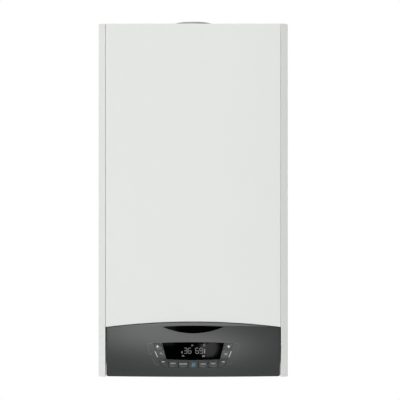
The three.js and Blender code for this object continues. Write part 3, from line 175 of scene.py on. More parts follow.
world = bpy.data.worlds.new("studio_surround")
world.use_nodes = True
air = world.node_tree
air.nodes.clear()
direction = add_node(air, "TexCoord")
split = add_node(air, "SeparateXYZ")
flag = eased_step(air, flag_starts, flag_ends, room_bright, room_dark)
stretch = {1: (1.0 / dim_width, 0.0, 1.0 / dim_height), 2: (0.0, 0.0, dim_below / dim_height)}
ellipse = add_node(air, "VectorMath", stretch, operation="MULTIPLY_ADD")
away = add_node(air, "VectorMath", operation="LENGTH")
dim = eased_step(air, dim_inner, dim_outer, dim_level, 1.0)
both = add_node(air, "Math", operation="MULTIPLY")
surround = add_node(air, "Background", {"Color": (1.0, 1.0, 0.995, 1.0)})
paper = add_node(air, "Background", {"Color": (1.0, 1.0, 1.0, 1.0), "Strength": paper_white})
sight = add_node(air, "LightPath")
choose = add_node(air, "MixShader")
world_out = add_node(air, "OutputWorld")
for source, target in (
    (direction.outputs["Generated"], split.inputs["Vector"]),
    (split.outputs["X"], flag.inputs["Value"]),
    (direction.outputs["Generated"], ellipse.inputs[0]),
    (ellipse.outputs["Vector"], away.inputs[0]),
    (away.outputs["Value"], dim.inputs["Value"]),
    (flag.outputs["Result"], both.inputs[0]),
    (dim.outputs["Result"], both.inputs[1]),
    (both.outputs["Value"], surround.inputs["Strength"]),
    (sight.outputs["Is Camera Ray"], choose.inputs["Fac"]),
    (surround.outputs["Background"], choose.inputs[1]),
    (paper.outputs["Background"], choose.inputs[2]),
    (choose.outputs["Shader"], world_out.inputs["Surface"]),
):
    air.links.new(source, target)
bpy.context.scene.world = world
bpy.context.scene.view_settings.view_transform = "Standard"


def softbox(name, place, target, width, height, watts):
    """A rectangular light at place that faces target."""
    light = bpy.data.lights.new(name, "AREA")
    light.shape = "RECTANGLE"
    light.size = width
    light.size_y = height
    light.energy = watts
    lamp = placed(name, light)
    lamp.location = place
    lamp.rotation_euler = (Vector(target) - Vector(place)).to_track_quat("-Z", "Y").to_euler()
    lamp.visible_camera = False
    return lamp


panel_middle = (0.0, cover_face, up(60))
softbox("tall_softbox", (-0.40, -2.58, -0.30), panel_middle, 0.50, 1.2, 13.5)
softbox("top_softbox", (-0.1, -1.9, 2.6), (0.0, cover_face, up(500)), 2.0, 1.0, 44.0)
strip = softbox("strip_light", (0.13, -2.6, -0.93), panel_middle, 0.14, 0.56, 6.1)
strip.data.shape = "ELLIPSE"
boiler_middle = (0.0, 0.0, up(370))
softbox("rear_softbox_right", (2.4, 1.8, 0.4), boiler_middle, 1.2, 1.6, 42.0)
softbox("rear_softbox_left", (-2.4, 1.8, 0.4), boiler_middle, 1.2, 1.6, 28.0)

# %% [markdown]
# ## Finishes
#
# A finish is one Principled shader with two kinds of detail. Grain is a fine noise that tilts the
# surface a little, as orange peel does on powder coat or a spark-eroded mould does on plastic.
# Mottle is a slow noise that shifts the roughness or the colour, so that no large face is dead even.
# Both are measured in metres on the piece itself, so they travel with it when it moves.

# %% Start a finish
def principled(material):
    """The sockets of its shader."""
    return material.node_tree.nodes["Principled BSDF"].inputs


def finish(name, colour, roughness, metallic=0.0, specular=0.5):
    material = bpy.data.materials.new(name)
    material.use_nodes = True
    sockets = principled(material)
    sockets["Base Color"].default_value = (*colour, 1.0)
    sockets["Roughness"].default_value = roughness
    sockets["Metallic"].default_value = metallic
    sockets["Specular IOR Level"].default_value = specular
    return material


def noise(material, scale, detail=2.0, stretch=(1.0, 1.0, 1.0)):
    """A noise in the piece's own metres; stretch draws it out along an axis."""
    tree = material.node_tree
    place = add_node(tree, "TexCoord")
    scaled = add_node(tree, "Mapping", {"Scale": stretch})
    texture = add_node(tree, "TexNoise", {"Scale": scale, "Detail": detail})
    tree.links.new(place.outputs["Object"], scaled.inputs["Vector"])
    tree.links.new(scaled.outputs["Vector"], texture.inputs["Vector"])
    return texture


def grain(material, scale, strength, depth=0.1 * MM, stretch=(1.0, 1.0, 1.0), detail=2.0):
    """Tilts the surface by a fine noise."""
    tree = material.node_tree
    texture = noise(material, scale, detail, stretch)
    bump = add_node(tree, "Bump", {"Strength": strength, "Distance": depth})
    tree.links.new(texture.outputs["Fac"], bump.inputs["Height"])
    tree.links.new(bump.outputs["Normal"], principled(material)["Normal"])
    return material


def mottle_roughness(material, scale, low, high, stretch=(1.0, 1.0, 1.0)):
    tree = material.node_tree
    texture = noise(material, scale, 3.0, stretch)
    spread = add_node(tree, "MapRange", {"From Min": 0.3, "From Max": 0.7, "To Min": low, "To Max": high})
    tree.links.new(texture.outputs["Fac"], spread.inputs["Value"])
    tree.links.new(spread.outputs["Result"], principled(material)["Roughness"])
    return material


def mottle_colour(material, scale, one, other, stretch=(1.0, 1.0, 1.0), detail=3.0):
    tree = material.node_tree
    texture = noise(material, scale, detail, stretch)
    blend = add_node(tree, "Mix", data_type="RGBA")
    blend.inputs[6].default_value = (*one, 1.0)
    blend.inputs[7].default_value = (*other, 1.0)
    tree.links.new(texture.outputs["Fac"], blend.inputs[0])
    tree.links.new(blend.outputs[2], principled(material)["Base Color"])
    return material


# %% [markdown]
# ### White enamel
#
# The casing is steel sheet with an oven-baked powder coat. It is a satin white with a breath of
# green, and its skin has the faint orange peel that powder leaves when it melts.

# %% Enamel
enamel = finish("white_enamel", (0.745, 0.758, 0.745), 0.52, specular=0.35)
mottle_colour(enamel, 3.0, (0.739, 0.753, 0.739), (0.755, 0.768, 0.754))
mottle_roughness(enamel, 14.0, 0.48, 0.56)
grain(enamel, 650.0, 0.12, 0.06 * MM)

# %% [markdown]
# ### Dark plastics
#
# The control panel is moulded in a graphite plastic with a fine spark-eroded texture, its keys in
# the same plastic a shade smoother. The window and the lens above it are polished black. Housings
# inside are a plainer black.

# %% Plastics
graphite = finish("graphite_plastic", (0.024, 0.026, 0.0258), 0.33)
mottle_colour(graphite, 900.0, (0.021, 0.023, 0.0228), (0.027, 0.029, 0.0288), detail=1.0)
grain(graphite, 1500.0, 0.10, 0.03 * MM)

key_plastic = finish("key_plastic", (0.024, 0.026, 0.0258), 0.33)
grain(key_plastic, 1800.0, 0.06, 0.02 * MM)
mottle_roughness(key_plastic, 60.0, 0.31, 0.37)

black_gloss = finish("black_gloss", (0.0004, 0.0004, 0.0004), 0.06, specular=0.0145)
mottle_roughness(black_gloss, 25.0, 0.05, 0.08)

black_plastic = finish("black_plastic", (0.016, 0.016, 0.017), 0.5)
grain(black_plastic, 900.0, 0.15, 0.05 * MM)
mottle_roughness(black_plastic, 30.0, 0.45, 0.58)

grey_plastic = finish("grey_plastic", (0.27, 0.28, 0.29), 0.45)
grain(grey_plastic, 700.0, 0.12, 0.05 * MM)
mottle_colour(grey_plastic, 12.0, (0.25, 0.26, 0.27), (0.29, 0.30, 0.31))


def knob_plastic(name, colour):
    material = grain(finish(name, colour, 0.35), 500.0, 0.08, 0.04 * MM)
    return mottle_roughness(material, 40.0, 0.3, 0.42)


red_knob = knob_plastic("knob_red", (0.45, 0.02, 0.012))
blue_knob = knob_plastic("knob_blue", (0.02, 0.09, 0.30))

rubber = finish("rubber_black", (0.022, 0.022, 0.022), 0.75, specular=0.3)
grain(rubber, 420.0, 0.3, 0.08 * MM)
mottle_roughness(rubber, 20.0, 0.68, 0.85)

board_green = finish("board_green", (0.02, 0.12, 0.05), 0.35)
mottle_colour(board_green, 260.0, (0.015, 0.10, 0.04), (0.03, 0.17, 0.07), (1.0, 1.0, 6.0), 1.0)
grain(board_green, 400.0, 0.1, 0.04 * MM)

# %% [markdown]
# ### Metals
#
# Zinc-coated sheet has a cloudy spangle. Castings are rough and even, drawn copper and stainless
# have fine lines along the tube, and hot-stamped brass sits between the two.

# %% Metals
zinc = finish("zinc_sheet", (0.60, 0.62, 0.63), 0.42, metallic=0.85)
mottle_colour(zinc, 55.0, (0.56, 0.58, 0.59), (0.65, 0.67, 0.68), detail=1.0)
mottle_roughness(zinc, 70.0, 0.32, 0.52)

cast_aluminium = finish("cast_aluminium", (0.44, 0.45, 0.46), 0.5, metallic=0.75)
grain(cast_aluminium, 380.0, 0.45, 0.12 * MM, detail=4.0)
mottle_roughness(cast_aluminium, 45.0, 0.42, 0.62)

stainless = finish("stainless", (0.54, 0.55, 0.56), 0.32, metallic=1.0)
grain(stainless, 300.0, 0.12, 0.03 * MM, (1.0, 12.0, 1.0))
mottle_roughness(stainless, 18.0, 0.27, 0.40)

brass = finish("brass", (0.52, 0.36, 0.14), 0.34, metallic=0.9)
grain(brass, 420.0, 0.25, 0.06 * MM)
mottle_colour(brass, 35.0, (0.46, 0.30, 0.11), (0.58, 0.41, 0.18))

copper = finish("copper", (0.55, 0.22, 0.11), 0.3, metallic=0.95)
mottle_colour(copper, 28.0, (0.46, 0.17, 0.08), (0.60, 0.27, 0.15))
grain(copper, 250.0, 0.1, 0.03 * MM, (1.0, 1.0, 0.1))

vessel_red = finish("vessel_red", (0.30, 0.022, 0.016), 0.32)
mottle_roughness(vessel_red, 16.0, 0.27, 0.42)
grain(vessel_red, 260.0, 0.15, 0.08 * MM)

# %% [markdown]
# ### Lit and printed marks
#
# The digits behind the window glow a cold pale grey. The marks on the keys are printed in a light
# grey, the ring round the power key is lit blue, and the lines outside the keys are only a shade
# lighter than the plastic.

# %% Marks
def glowing(name, colour, strength):
    material = finish(name, (0.02, 0.02, 0.02), 0.3)
    principled(material)["Emission Color"].default_value = (*colour, 1.0)
    principled(material)["Emission Strength"].default_value = strength
    return material


def printed(name, colour):
    return mottle_roughness(finish(name, colour, 0.45), 300.0, 0.4, 0.5)


lit_grey = glowing("lit_segments", (0.78, 0.80, 0.80), 0.19)
lit_dim = glowing("lit_segments_dim", (0.70, 0.72, 0.72), 0.10)
lit_blue = glowing("lit_blue", (0.035, 0.30, 0.52), 0.66)
print_light = printed("printed_light", (0.62, 0.64, 0.63))
print_mid = printed("printed_mid", (0.34, 0.35, 0.35))
print_faint = printed("printed_faint", (0.11, 0.115, 0.115))
print("finishes:", len(bpy.data.materials))

# %% [markdown]
# ## Floor
#
# The boiler hangs on a wall at about a metre, so its pale floor lies far below it: out of the
# portrait, but there in every other view, where it throws soft light back on the underside. It
# fades out towards its rim, so that no horizon cuts across the picture.

# %% Lay the floor
floor_drop = 1.1
floor_radius = 3.6
floor_fade = 1.3  # how far from the middle it begins to fade


def make_floor():
    bm = bmesh.new()
    bmesh.ops.create_circle(bm, cap_ends=True, segments=96, radius=floor_radius)
    floor = placed_mesh("studio_floor", bm)
    floor.location = (0.0, 0.0, case_bottom - floor_drop)
    paint = finish("pale_floor", (0.90, 0.90, 0.89), 0.7)
    tree = paint.node_tree
    place = add_node(tree, "TexCoord")
    outward = add_node(tree, "VectorMath", operation="LENGTH")
    fade = eased_step(tree, floor_fade, floor_radius, 1.0, 0.0)
    tree.links.new(place.outputs["Object"], outward.inputs[0])
    tree.links.new(outward.outputs["Value"], fade.inputs["Value"])
    tree.links.new(fade.outputs["Result"], principled(paint)["Alpha"])
    floor.data.materials.append(paint)


make_floor()

# %% [markdown]
# ## Outlines
#
# Every moulding starts from a flat outline seen from the front: pairs of x and z, going round
# anticlockwise. Five small tools work on such outlines. They round the corners, move the whole
# outline in or out by a distance, say which points lie inside, cut off what lies beyond a line, and
# add points where a stretch is long.

# %% Tools for outlines
least_mitre = 0.35  # keeps a sharp corner from running away when its outline is moved


def rounded(corners, steps=5):
    """An outline from (x, z, radius) corners, each turned into a soft curve."""
    points = []
    for i, (x, z, radius) in enumerate(corners):
        here = Vector((x, z))
        if radius == 0.0:
            points.append(here)
            continue
        back = Vector(corners[i - 1][:2]) - here
        ahead = Vector(corners[(i + 1) % len(corners)][:2]) - here
        start = here + back.normalized() * min(radius, back.length / 2)
        end = here + ahead.normalized() * min(radius, ahead.length / 2)
        for k in range(steps + 1):
            t = k / steps
            points.append(start.lerp(here, t).lerp(here.lerp(end, t), t))
    return points


def moved_out(points, distance):
    """The same outline, moved outwards by distance; a negative one moves it in."""
    moved = []
    for i, here in enumerate(points):
        before = (here - points[i - 1]).normalized()
        after = (points[(i + 1) % len(points)] - here).normalized()
        side_before = Vector((before.y, -before.x))
        middle = (side_before + Vector((after.y, -after.x))).normalized()
        moved.append(here + middle * distance / max(middle.dot(side_before), least_mitre))
    return moved


def inside(places, outline):
    """For each of the places, whether it lies inside the outline."""
    x, z = np.array(places, float).reshape(-1, 2).T
    found = np.zeros(len(x), bool)
    for i, b in enumerate(outline):
        a = outline[i - 1]
        if a.y == b.y:
            continue
        crossing = (b.x - a.x) * (z - a.y) / (b.y - a.y) + a.x
        found ^= ((a.y > z) != (b.y > z)) & (x < crossing)
    return found


def clipped(points, axis, limit, keep_above):
    """The part of an outline on one side of a line x = limit (axis 0) or z = limit (axis 1)."""
    kept = []
    sign = 1.0 if keep_above else -1.0
    for i, here in enumerate(points):
        before = points[i - 1]
        a = sign * (before[axis] - limit)
        b = sign * (here[axis] - limit)
        if (a >= 0) != (b >= 0):
            kept.append(before.lerp(here, a / (a - b)))
        if b >= 0:
            kept.append(here.copy())
    return [p for i, p in enumerate(kept) if (p - kept[i - 1]).length > 0.01 * MM]


def stepped(points, longest, closed=True):
    """The same line with points added, so that no stretch is longer than longest."""
    result = []
    for i, here in enumerate(points if closed else points[:-1]):
        ahead = points[(i + 1) % len(points)]
        count = max(1, math.ceil((ahead - here).length / longest - 1e-6))
        result += [here.lerp(ahead, k / count) for k in range(count)]
    return result if closed else result + [points[-1]]


# %% [markdown]
# ## Mouldings
#
# A moulding is a closed skin: a face with a rounded rim, a wall behind it, and a back that follows
# the face at the thickness of the material. The face is triangulated inside its outline over a net
# of inner points, and every point is pushed to the depth that the face has there, so one tool makes
# the flat cover, the crowned panel and the dished keys. Holes get the same rim, turned inwards.

# %% Lay a net inside an outline
def net_inside(loops, creases, pitch):
    """Places, triangles and, for each loop, the numbers of its places in order."""
    fixed = [p for line in [*loops, *creases] for p in line]
    edges, start = [], 0
    for line, closed in [(loop, True) for loop in loops] + [(crease, False) for crease in creases]:
        count = len(line)
        edges += [(start + i, start + (i + 1) % count) for i in range(count if closed else count - 1)]
        start += count
    low = np.array(fixed).min(0)
    high = np.array(fixed).max(0)
    counts = np.maximum(np.round((high - low) / pitch).astype(int), 1)
    xs = np.linspace(low[0], high[0], counts[0] + 1)[1:-1]
    zs = np.linspace(low[1], high[1], counts[1] + 1)[1:-1]
    grid = np.array([(x, z) for x in xs for z in zs]).reshape(-1, 2)
    if len(grid):
        keep = inside(grid, moved_out(loops[0], -0.3 * pitch))
        for hole in loops[1:]:
            keep &= ~inside(grid, moved_out(hole, 0.3 * pitch))
        grid = grid[keep]
        gaps = np.linalg.norm(grid[:, None, :] - np.array(fixed)[None, :, :], axis=2).min(1)
        grid = grid[gaps > 0.4 * pitch]
    flat = fixed + [Vector(p) for p in grid]
    places, _, faces, sources, _, _ = delaunay_2d_cdt(flat, edges, [], 0, 1e-7)
    number = {source: i for i, group in enumerate(sources) for source in group}
    middles = [sum((places[i] for i in face), Vector((0.0, 0.0))) / 3 for face in faces]
    keep = inside(middles, loops[0])
    for hole in loops[1:]:
        keep &= ~inside(middles, hole)
    triangles = [face for face, kept in zip(faces, keep) if kept]
    rings, start = [], 0
    for line in [*loops, *creases]:
        rings.append([number[start + i] for i in range(len(line))])
        start += len(line)
    return places, triangles, rings


# %% Mould a piece
RIM_STEPS = 4  # facets round the quarter circle of a rim
crisp_angle = math.radians(35)


def new_piece(name, bm):
    """Turns the built skin into an object with smooth faces and crisp corners."""
    bmesh.ops.delete(bm, geom=[v for v in bm.verts if not v.link_faces], context="VERTS")
    bmesh.ops.recalc_face_normals(bm, faces=bm.faces)
    for part in bm.faces:
        part.smooth = True
    for line in bm.edges:
        if len(line.link_faces) == 2 and line.calc_face_angle(0.0) > crisp_angle:
            line.smooth = False
    return placed_mesh(name, bm)


def bridge(bm, one, other):
    for i in range(len(one)):
        j = (i + 1) % len(one)
        bm.faces.new((one[i], one[j], other[j], other[i]))
    return other


def moulding(name, outline, face, rim, wall, holes=(), creases=(), pitch=6 * MM, shell=None, rear=None):
    """face gives the depth at (x, z). The wall goes wall deep behind it, or back to the plane rear."""
    shell = wall if shell is None else shell
    rims = [(stepped(outline, pitch), rim, -1.0)]
    rims += [(stepped(hole, pitch), hole_rim, 1.0) for hole, hole_rim in holes]
    loops = [moved_out(points, way * radius) for points, radius, way in rims]
    creases = [stepped(line, pitch, closed=False) for line in creases]
    places, triangles, rings = net_inside(loops, creases, pitch)
    bm = bmesh.new()
    front = [bm.verts.new((p.x, face(p.x, p.y), p.y)) for p in places]
    behind = [bm.verts.new((p.x, face(p.x, p.y) + shell, p.y)) for p in places]
    for a, b, c in triangles:
        bm.faces.new((front[a], front[b], front[c]))
        bm.faces.new((behind[c], behind[b], behind[a]))
    for (points, radius, way), numbers in zip(rims, rings):
        ring = [front[i] for i in numbers]
        steps = [math.pi / 2 * k / RIM_STEPS for k in range(1, RIM_STEPS + 1)]
        places_behind = [(way * radius * (1 - math.sin(a)), radius * (1 - math.cos(a))) for a in steps]
        if way > 0:
            places_behind.append((0.0, shell))
        else:
            places_behind.append((0.0, wall))
            if wall > shell or rear is not None:
                places_behind.append((-shell, wall))
        for offset, depth in places_behind:
            line = moved_out(points, offset) if offset else points
            to_plane = rear is not None and depth == wall and way < 0
            ring = bridge(
                bm,
                ring,
                [bm.verts.new((p.x, rear if to_plane else face(p.x, p.y) + depth, p.y)) for p in line],
            )
        bridge(bm, ring, [behind[i] for i in numbers])
    for numbers in rings[len(rims) :]:
        for a, b in zip(numbers, numbers[1:]):
            line = bm.edges.get((front[a], front[b]))
            if line:
                line.smooth = False
    return new_piece(name, bm)


def shade_evenly(piece):
    even = piece.modifiers.new("even_shading", "WEIGHTED_NORMAL")
    even.keep_sharp = True


def say_size(name, piece):
    print(name, [round(v, 4) for v in piece.dimensions])


def dress(piece, body, material, stands_for=()):
    """Gives a new piece its finish and the body that it moves with."""
    piece.data.materials.append(material)
    shade_evenly(piece)
    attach(piece, body)
    if stands_for:
        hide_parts(*stands_for)
    return piece


def flat_face(depth):
    return lambda x, z: depth


# %% [markdown]
# ## Front cover
#
# The cover is one pressed sheet: a flat face, a soft fold all round, and a short return that sits
# inside the two side strips. Its lower edge follows the arch of the control panel at an even gap.

# %% The arch between cover and panel
arch_rise = 11.2 * MM
side_top = panel_top - arch_rise
arch_radius = (panel_half**2 + arch_rise**2) / (2 * arch_rise)


def arch(x, lift=0.0):
    """The height of the arched joint at x, moved up by lift."""
    radius = arch_radius + lift
    return panel_top - arch_radius + math.sqrt(radius**2 - x**2)


def arch_line(half, lift, steps=48):
    """The arch from right to left."""
    xs = [half - 2 * half * i / steps for i in range(steps + 1)]
    return [Vector((x, arch(x, lift))) for x in xs]


# %% Press the cover
sheet = 1.2 * MM
arch_gap = 0.6 * MM
cover_stand_off = 1.2 * MM
cover_fold = 1.0 * MM
cover_corner = 3.0 * MM
lip_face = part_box("cover_seal")[1].y + 0.3 * MM
cover_return = lip_face - cover_stand_off - cover_face


def press_cover():
    lower = [Vector((-p.x, p.y)) for p in arch_line(cover_half, arch_gap)]
    corners = [(cover_half, lower[-1].y, 0.0), (cover_half, case_top, cover_corner)]
    corners += [(-cover_half, case_top, cover_corner), (-cover_half, lower[0].y, 0.0)]
    outline = lower[:-1] + rounded(corners)[:-1]
    return moulding(
        "cover_sheet", outline, flat_face(cover_face), cover_fold, cover_return, pitch=12 * MM, shell=sheet
    )


cover = dress(press_cover(), "front_cover", enamel, ["front_cover"])
say_size("cover", cover)

# %% [markdown]
# The cover hangs from a tongue behind its top edge, which drops over the front of the top panel.

# %% A plain bent or flat strip
def extruded(name, section, low, high, along="z"):
    """A closed section carried from low to high; along z it is in (x, y), along x in (y, z)."""
    bm = bmesh.new()
    ends = []
    for place in (low, high):
        if along == "z":
            ends.append([bm.verts.new((p.x, p.y, place)) for p in section])
        else:
            ends.append([bm.verts.new((place, p.x, p.y)) for p in section])
    bridge(bm, ends[0], ends[1])
    for end in ends:
        bm.faces.new(end)
    return new_piece(name, bm)


def slab(name, low, high):
    """A box between two corners."""
    section = [Vector((low[0], low[1])), Vector((high[0], low[1]))]
    section += [Vector((high[0], high[1])), Vector((low[0], high[1]))]
    return extruded(name, section, low[2], high[2])


tongue_half = 166.9 * MM
tongue_front, tongue_back = -300 * MM, -279 * MM
tongue_low, tongue_high = (-tongue_half, tongue_front, up(743.8)), (tongue_half, tongue_back, up(745))
tongue = slab("cover_tongue", tongue_low, tongue_high)
dress(tongue, "front_cover", enamel)
say_size("tongue", tongue)

# %% [markdown]
# ## Side panels
#
# Each side is one folded sheet. It runs from the wall to the front, folds back to the cover as a
# narrow bevelled strip, and turns in behind the cover, where a lip takes the seal. A folded sheet
# never has a knife edge: its outer radius is about twice its thickness, and that radius is what
# draws the fine light line down each corner. So the section is drawn as a line with rounded bends
# and given the thickness of the sheet, then carried up the whole height.

# %% Fold the side panels
bend = 2.4 * MM
side_line = 200.0 * MM  # the sheet's outer face, from the middle of the boiler
wall_gap = -0.3 * MM
strip_back = -304.0 * MM  # where the side folds into the bevelled strip
strip_edge = 185.2 * MM  # where the strip meets the cover
strip_front = -311.0 * MM
strip_return = -297.8 * MM
lip_edge = 167.2 * MM


def sheet_section(corners, thickness, steps=6):
    """The closed section of a bent sheet, from its outer line and its thickness to the left of it."""
    line = []
    for i, (x, y, radius) in enumerate(corners):
        here = Vector((x, y))
        if radius == 0.0 or i in (0, len(corners) - 1):
            line.append(here)
            continue
        back = (Vector(corners[i - 1][:2]) - here).normalized()
        ahead = (Vector(corners[i + 1][:2]) - here).normalized()
        reach = radius * math.tan((math.pi - back.angle(ahead)) / 2)
        start, end = here + back * reach, here + ahead * reach
        centre = here + (back + ahead).normalized() * radius / math.sin(back.angle(ahead) / 2)
        sweep = (start - centre).angle_signed(end - centre)
        for k in range(steps + 1):
            turned = start - centre
            turned.rotate(Matrix.Rotation(-sweep * k / steps, 2))
            line.append(centre + turned)
    inner = []
    for i, here in enumerate(line):
        before = (here - line[i - 1]).normalized() if i else None
        after = (line[i + 1] - here).normalized() if i < len(line) - 1 else None
        side_before = Vector((-before.y, before.x)) if before else None
        side_after = Vector((-after.y, after.x)) if after else None
        middle = ((side_before or side_after) + (side_after or side_before)).normalized()
        inner.append(here + middle * thickness / middle.dot(side_after or side_before))
    return line + inner[::-1]


def fold_side(side, name):
    corners = [
        (side_line, wall_gap, 0.0),
        (side_line, strip_back, bend),
        (strip_edge, strip_front, 0.55 * bend),
        (strip_edge, strip_return, 0.0),
    ]
    section = sheet_section(corners, -sheet)
    section = [Vector((side * p.x, p.y)) for p in section]
    return extruded(name, section, case_bottom, case_top)


for side, hand in ((-1, "left"), (1, "right")):
    sheet_piece = fold_side(side, "side_sheet_" + hand)
    dress(sheet_piece, "root", enamel, ["side_panel_" + hand])
    inner, outer = sorted((side * lip_edge, side * strip_edge))
    low, high = (inner, strip_return, up(120.6)), (outer, strip_return + sheet, up(741.7))
    lip = slab(sheet_piece.name + "_lip", low, high)
    dress(lip, "root", enamel)
    say_size(sheet_piece.name, sheet_piece)

# %% [markdown]
# ## Control panel
#
# The panel is the piece that takes the most skill. Its face is crowned both ways, its top edge is an
# arch, and below that edge a slim crescent leans back to meet the cover. A tapered window with
# bowed edges sits in the middle, wrapped by a band of keys, and a polished lens lies above it.
#
# The crown is a formula, so everything that lies on the panel can ask it for its depth.

# %% The crown of the panel
crown_depth = 8.0 * MM
panel_mid = (panel_bottom + panel_top) / 2
crescent_start = 0.5 * MM
crescent_rise = 4.2 * MM
crescent_lean = 0.63


def crown(x, z):
    across = (x / panel_half) ** 2
    upward = ((z - panel_mid) / (panel_top - panel_mid)) ** 2
    return panel_front + crown_depth * (0.8 * across + 0.5 * upward)


def crescent(x):
    """The foot of the crescent, which starts just above the panel's top corners."""
    return side_top + crescent_start + (crescent_rise - crescent_start) * (1.0 - (x / panel_half) ** 2)


def panel_face(x, z):
    line = crescent(x)
    if z <= line:
        return crown(x, z)
    return crown(x, line) + crescent_lean * (z - line)


print("crown", round(crown(0, panel_mid), 4), "to", round(crown(panel_half, panel_bottom), 4))

# %% [markdown]
# The outlines on the panel are drawn in millimetres from the lower edge of the casing: the window
# with its bowed edges, the band of keys round it, and the lens.

# %% Draw window, band and lens
def bowed(start, control, end, steps):
    """A shallow curve from start to end that is pulled towards control."""
    a, b, c = Vector(start), Vector(control), Vector(end)
    return [a.lerp(b, k / steps).lerp(b.lerp(c, k / steps), k / steps) for k in range(steps)]


def on_panel(points):
    return [Vector((p.x * MM, up(p.y))) for p in points]


window_top, window_bottom = 72.6, 38.6
window_wide, window_narrow = 65.0, 56.0  # half its width at the top and at the bottom
window_bow = 3.0
band_top, band_bottom, band_corner = 72.0, 21.0, 13.0
band_wide, band_narrow = 84.3, 66.8
band_drop, band_bow = 0.45, 2.1  # how far its lower line sags at the corners' ends and in the middle
lens_half, lens_line = 65.0, 106.5  # half the lens, and the height of its two tips
lens_low, lens_high = 93.1, 108.6


def grown(top, bottom, wide, narrow, grow):
    """A tapered shape grown all round: its two lines, its half widths there, and its slope."""
    slope = (wide - narrow) / (top - bottom)
    side = grow * math.hypot(1.0, slope)
    return top + grow, bottom - grow, wide + slope * grow + side, narrow - slope * grow + side, slope


def window_outline(grow):
    upper, lower, wide, narrow, _ = grown(window_top, window_bottom, window_wide, window_narrow, grow)
    points = [Vector((-wide, upper))]
    points += bowed((-narrow, lower), (0.0, lower - window_bow), (narrow, lower), 16)
    points += [Vector((narrow, lower))]
    return points + bowed((wide, upper), (0.0, upper + window_bow), (-wide, upper), 16)


def band_outline(grow):
    upper, lower, wide, narrow, slope = grown(band_top, band_bottom, band_wide, band_narrow, grow)
    start, end = narrow - band_corner, narrow + slope * band_corner
    foot, turn = lower - band_drop, lower + band_corner
    points = [Vector((-wide, upper))]
    points += bowed((-end, turn), (-narrow, lower), (-start, foot), 8)
    points += bowed((-start, foot), (0.0, lower - band_bow), (start, foot), 12)
    points += bowed((start, foot), (narrow, lower), (end, turn), 8)
    return points + [Vector((end, turn)), Vector((wide, upper))]


def lens_outline(grow):
    half = lens_half + 3.0 * grow
    low_pull = 2.0 * (lens_low - grow) - lens_line
    high_pull = 2.0 * (lens_high + grow) - lens_line
    points = bowed((-half, lens_line), (0.0, low_pull), (half, lens_line), 28)
    return points + bowed((half, lens_line), (0.0, high_pull), (-half, lens_line), 28)


# %% [markdown]
# A key is the stretch of the band inside its own cell, less the window. Such a shape has two places
# where the band's line meets the window's, so it can be put together from the part of the one that
# lies outside the window and the part of the other that lies inside the cell. Averaging each point
# with its neighbours a few times then rounds the corners as a mould maker would.

# %% Draw the keys
def run_of(points, wanted):
    """The unbroken run of the wanted points of a closed line, in order."""
    first = next(i for i in range(len(points)) if wanted[i] and not wanted[i - 1])
    turned = [(first + k) % len(points) for k in range(len(points))]
    return [points[i] for i in turned if wanted[i]]


def without(outline, cutter, step=0.4):
    ring, tool = stepped(outline, step), stepped(cutter, step)
    outside = ~inside(ring, cutter)
    return run_of(ring, outside) + run_of(tool, inside(tool, outline))[::-1]


def eased(points, passes):
    for _ in range(passes):
        points = [
            points[i - 1] * 0.25 + here * 0.5 + points[(i + 1) % len(points)] * 0.25
            for i, here in enumerate(points)
        ]
    return points


key_web = 1.2
well_inset = -0.6
key_inset = -0.95
far_left, far_right = (-104.3, -52.0), (52.0, 104.3)
upper_row, lower_row = (57.6, 92.6), (0.0, 40.5)
key_cells = {
    "key_hot_water_plus": (far_left, upper_row),
    "key_hot_water_minus": (far_left, lower_row),
    "key_heating_plus": (far_right, upper_row),
    "key_heating_minus": (far_right, lower_row),
    "key_menu": ((-52.0, -31.2), lower_row),
    "key_comfort": ((-31.2, -10.4), lower_row),
    "key_power": ((-10.4, 10.4), lower_row),
    "key_auto": ((10.4, 31.2), lower_row),
    "key_reset": ((31.2, 52.0), lower_row),
}


def key_outline(name, grow, passes):
    (left, right), (low, high) = key_cells[name]
    shape = band_outline(grow)
    for axis, limit, above in ((0, left - grow, True), (0, right + grow, False), (1, low - grow, True)):
        shape = clipped(shape, axis, limit, above)
    shape = clipped(shape, 1, high + grow, False)
    shape = without(shape, window_outline(key_web - grow))
    return on_panel(eased(shape, passes)[::2])


wells = {name: key_outline(name, well_inset, 12) for name in key_cells}
key_shapes = {name: key_outline(name, key_inset, 9) for name in key_cells}
print("keys:", {name: len(shape) for name, shape in key_shapes.items()})

# %% Mould the fascia
panel_wall = 2.5 * MM
panel_rim = 1.4 * MM
panel_corner = 5.0 * MM
panel_lip = 3.0 * MM
panel_depth = 8.0 * MM  # from the face of the cover back to the rim of the panel's shell
crease_share = 0.93  # how much of the panel's width the crescent's sharp foot takes
well_rim = 0.3 * MM
window_gap, window_rim = 0.35, 0.25 * MM
lens_gap, lens_rim = 0.2, 0.15 * MM


def mould_fascia():
    corners = [(-panel_half, panel_bottom, panel_corner), (panel_half, panel_bottom, panel_corner)]
    corners += [(panel_half, side_top, 0.0), (-panel_half, side_top, 0.0)]
    outline = rounded(corners)[:-2] + arch_line(panel_half, 0.0)
    crease_half = crease_share * panel_half
    xs = [-crease_half + 2 * crease_half * k / 60 for k in range(61)]
    crease = [Vector((x, crescent(x))) for x in xs]
    holes = [(shape, well_rim) for shape in wells.values()]
    holes.append((on_panel(window_outline(window_gap)), well_rim))
    holes.append((on_panel(lens_outline(lens_gap)), lens_rim))
    rear = cover_face + panel_depth
    return moulding(
        "panel_fascia", outline, panel_face, panel_rim, panel_lip, holes, [crease], 5 * MM, panel_wall, rear
    )


fascia = dress(mould_fascia(), "control_panel", graphite, ["fascia"])
say_size("fascia", fascia)

# %% [markdown]
# ### Window and lens
#
# Both are polished black pieces let in flush with the panel, with a hair's breadth of gap. They
# follow the crown, so the reflection of the room bends over them as it does on the real ones.

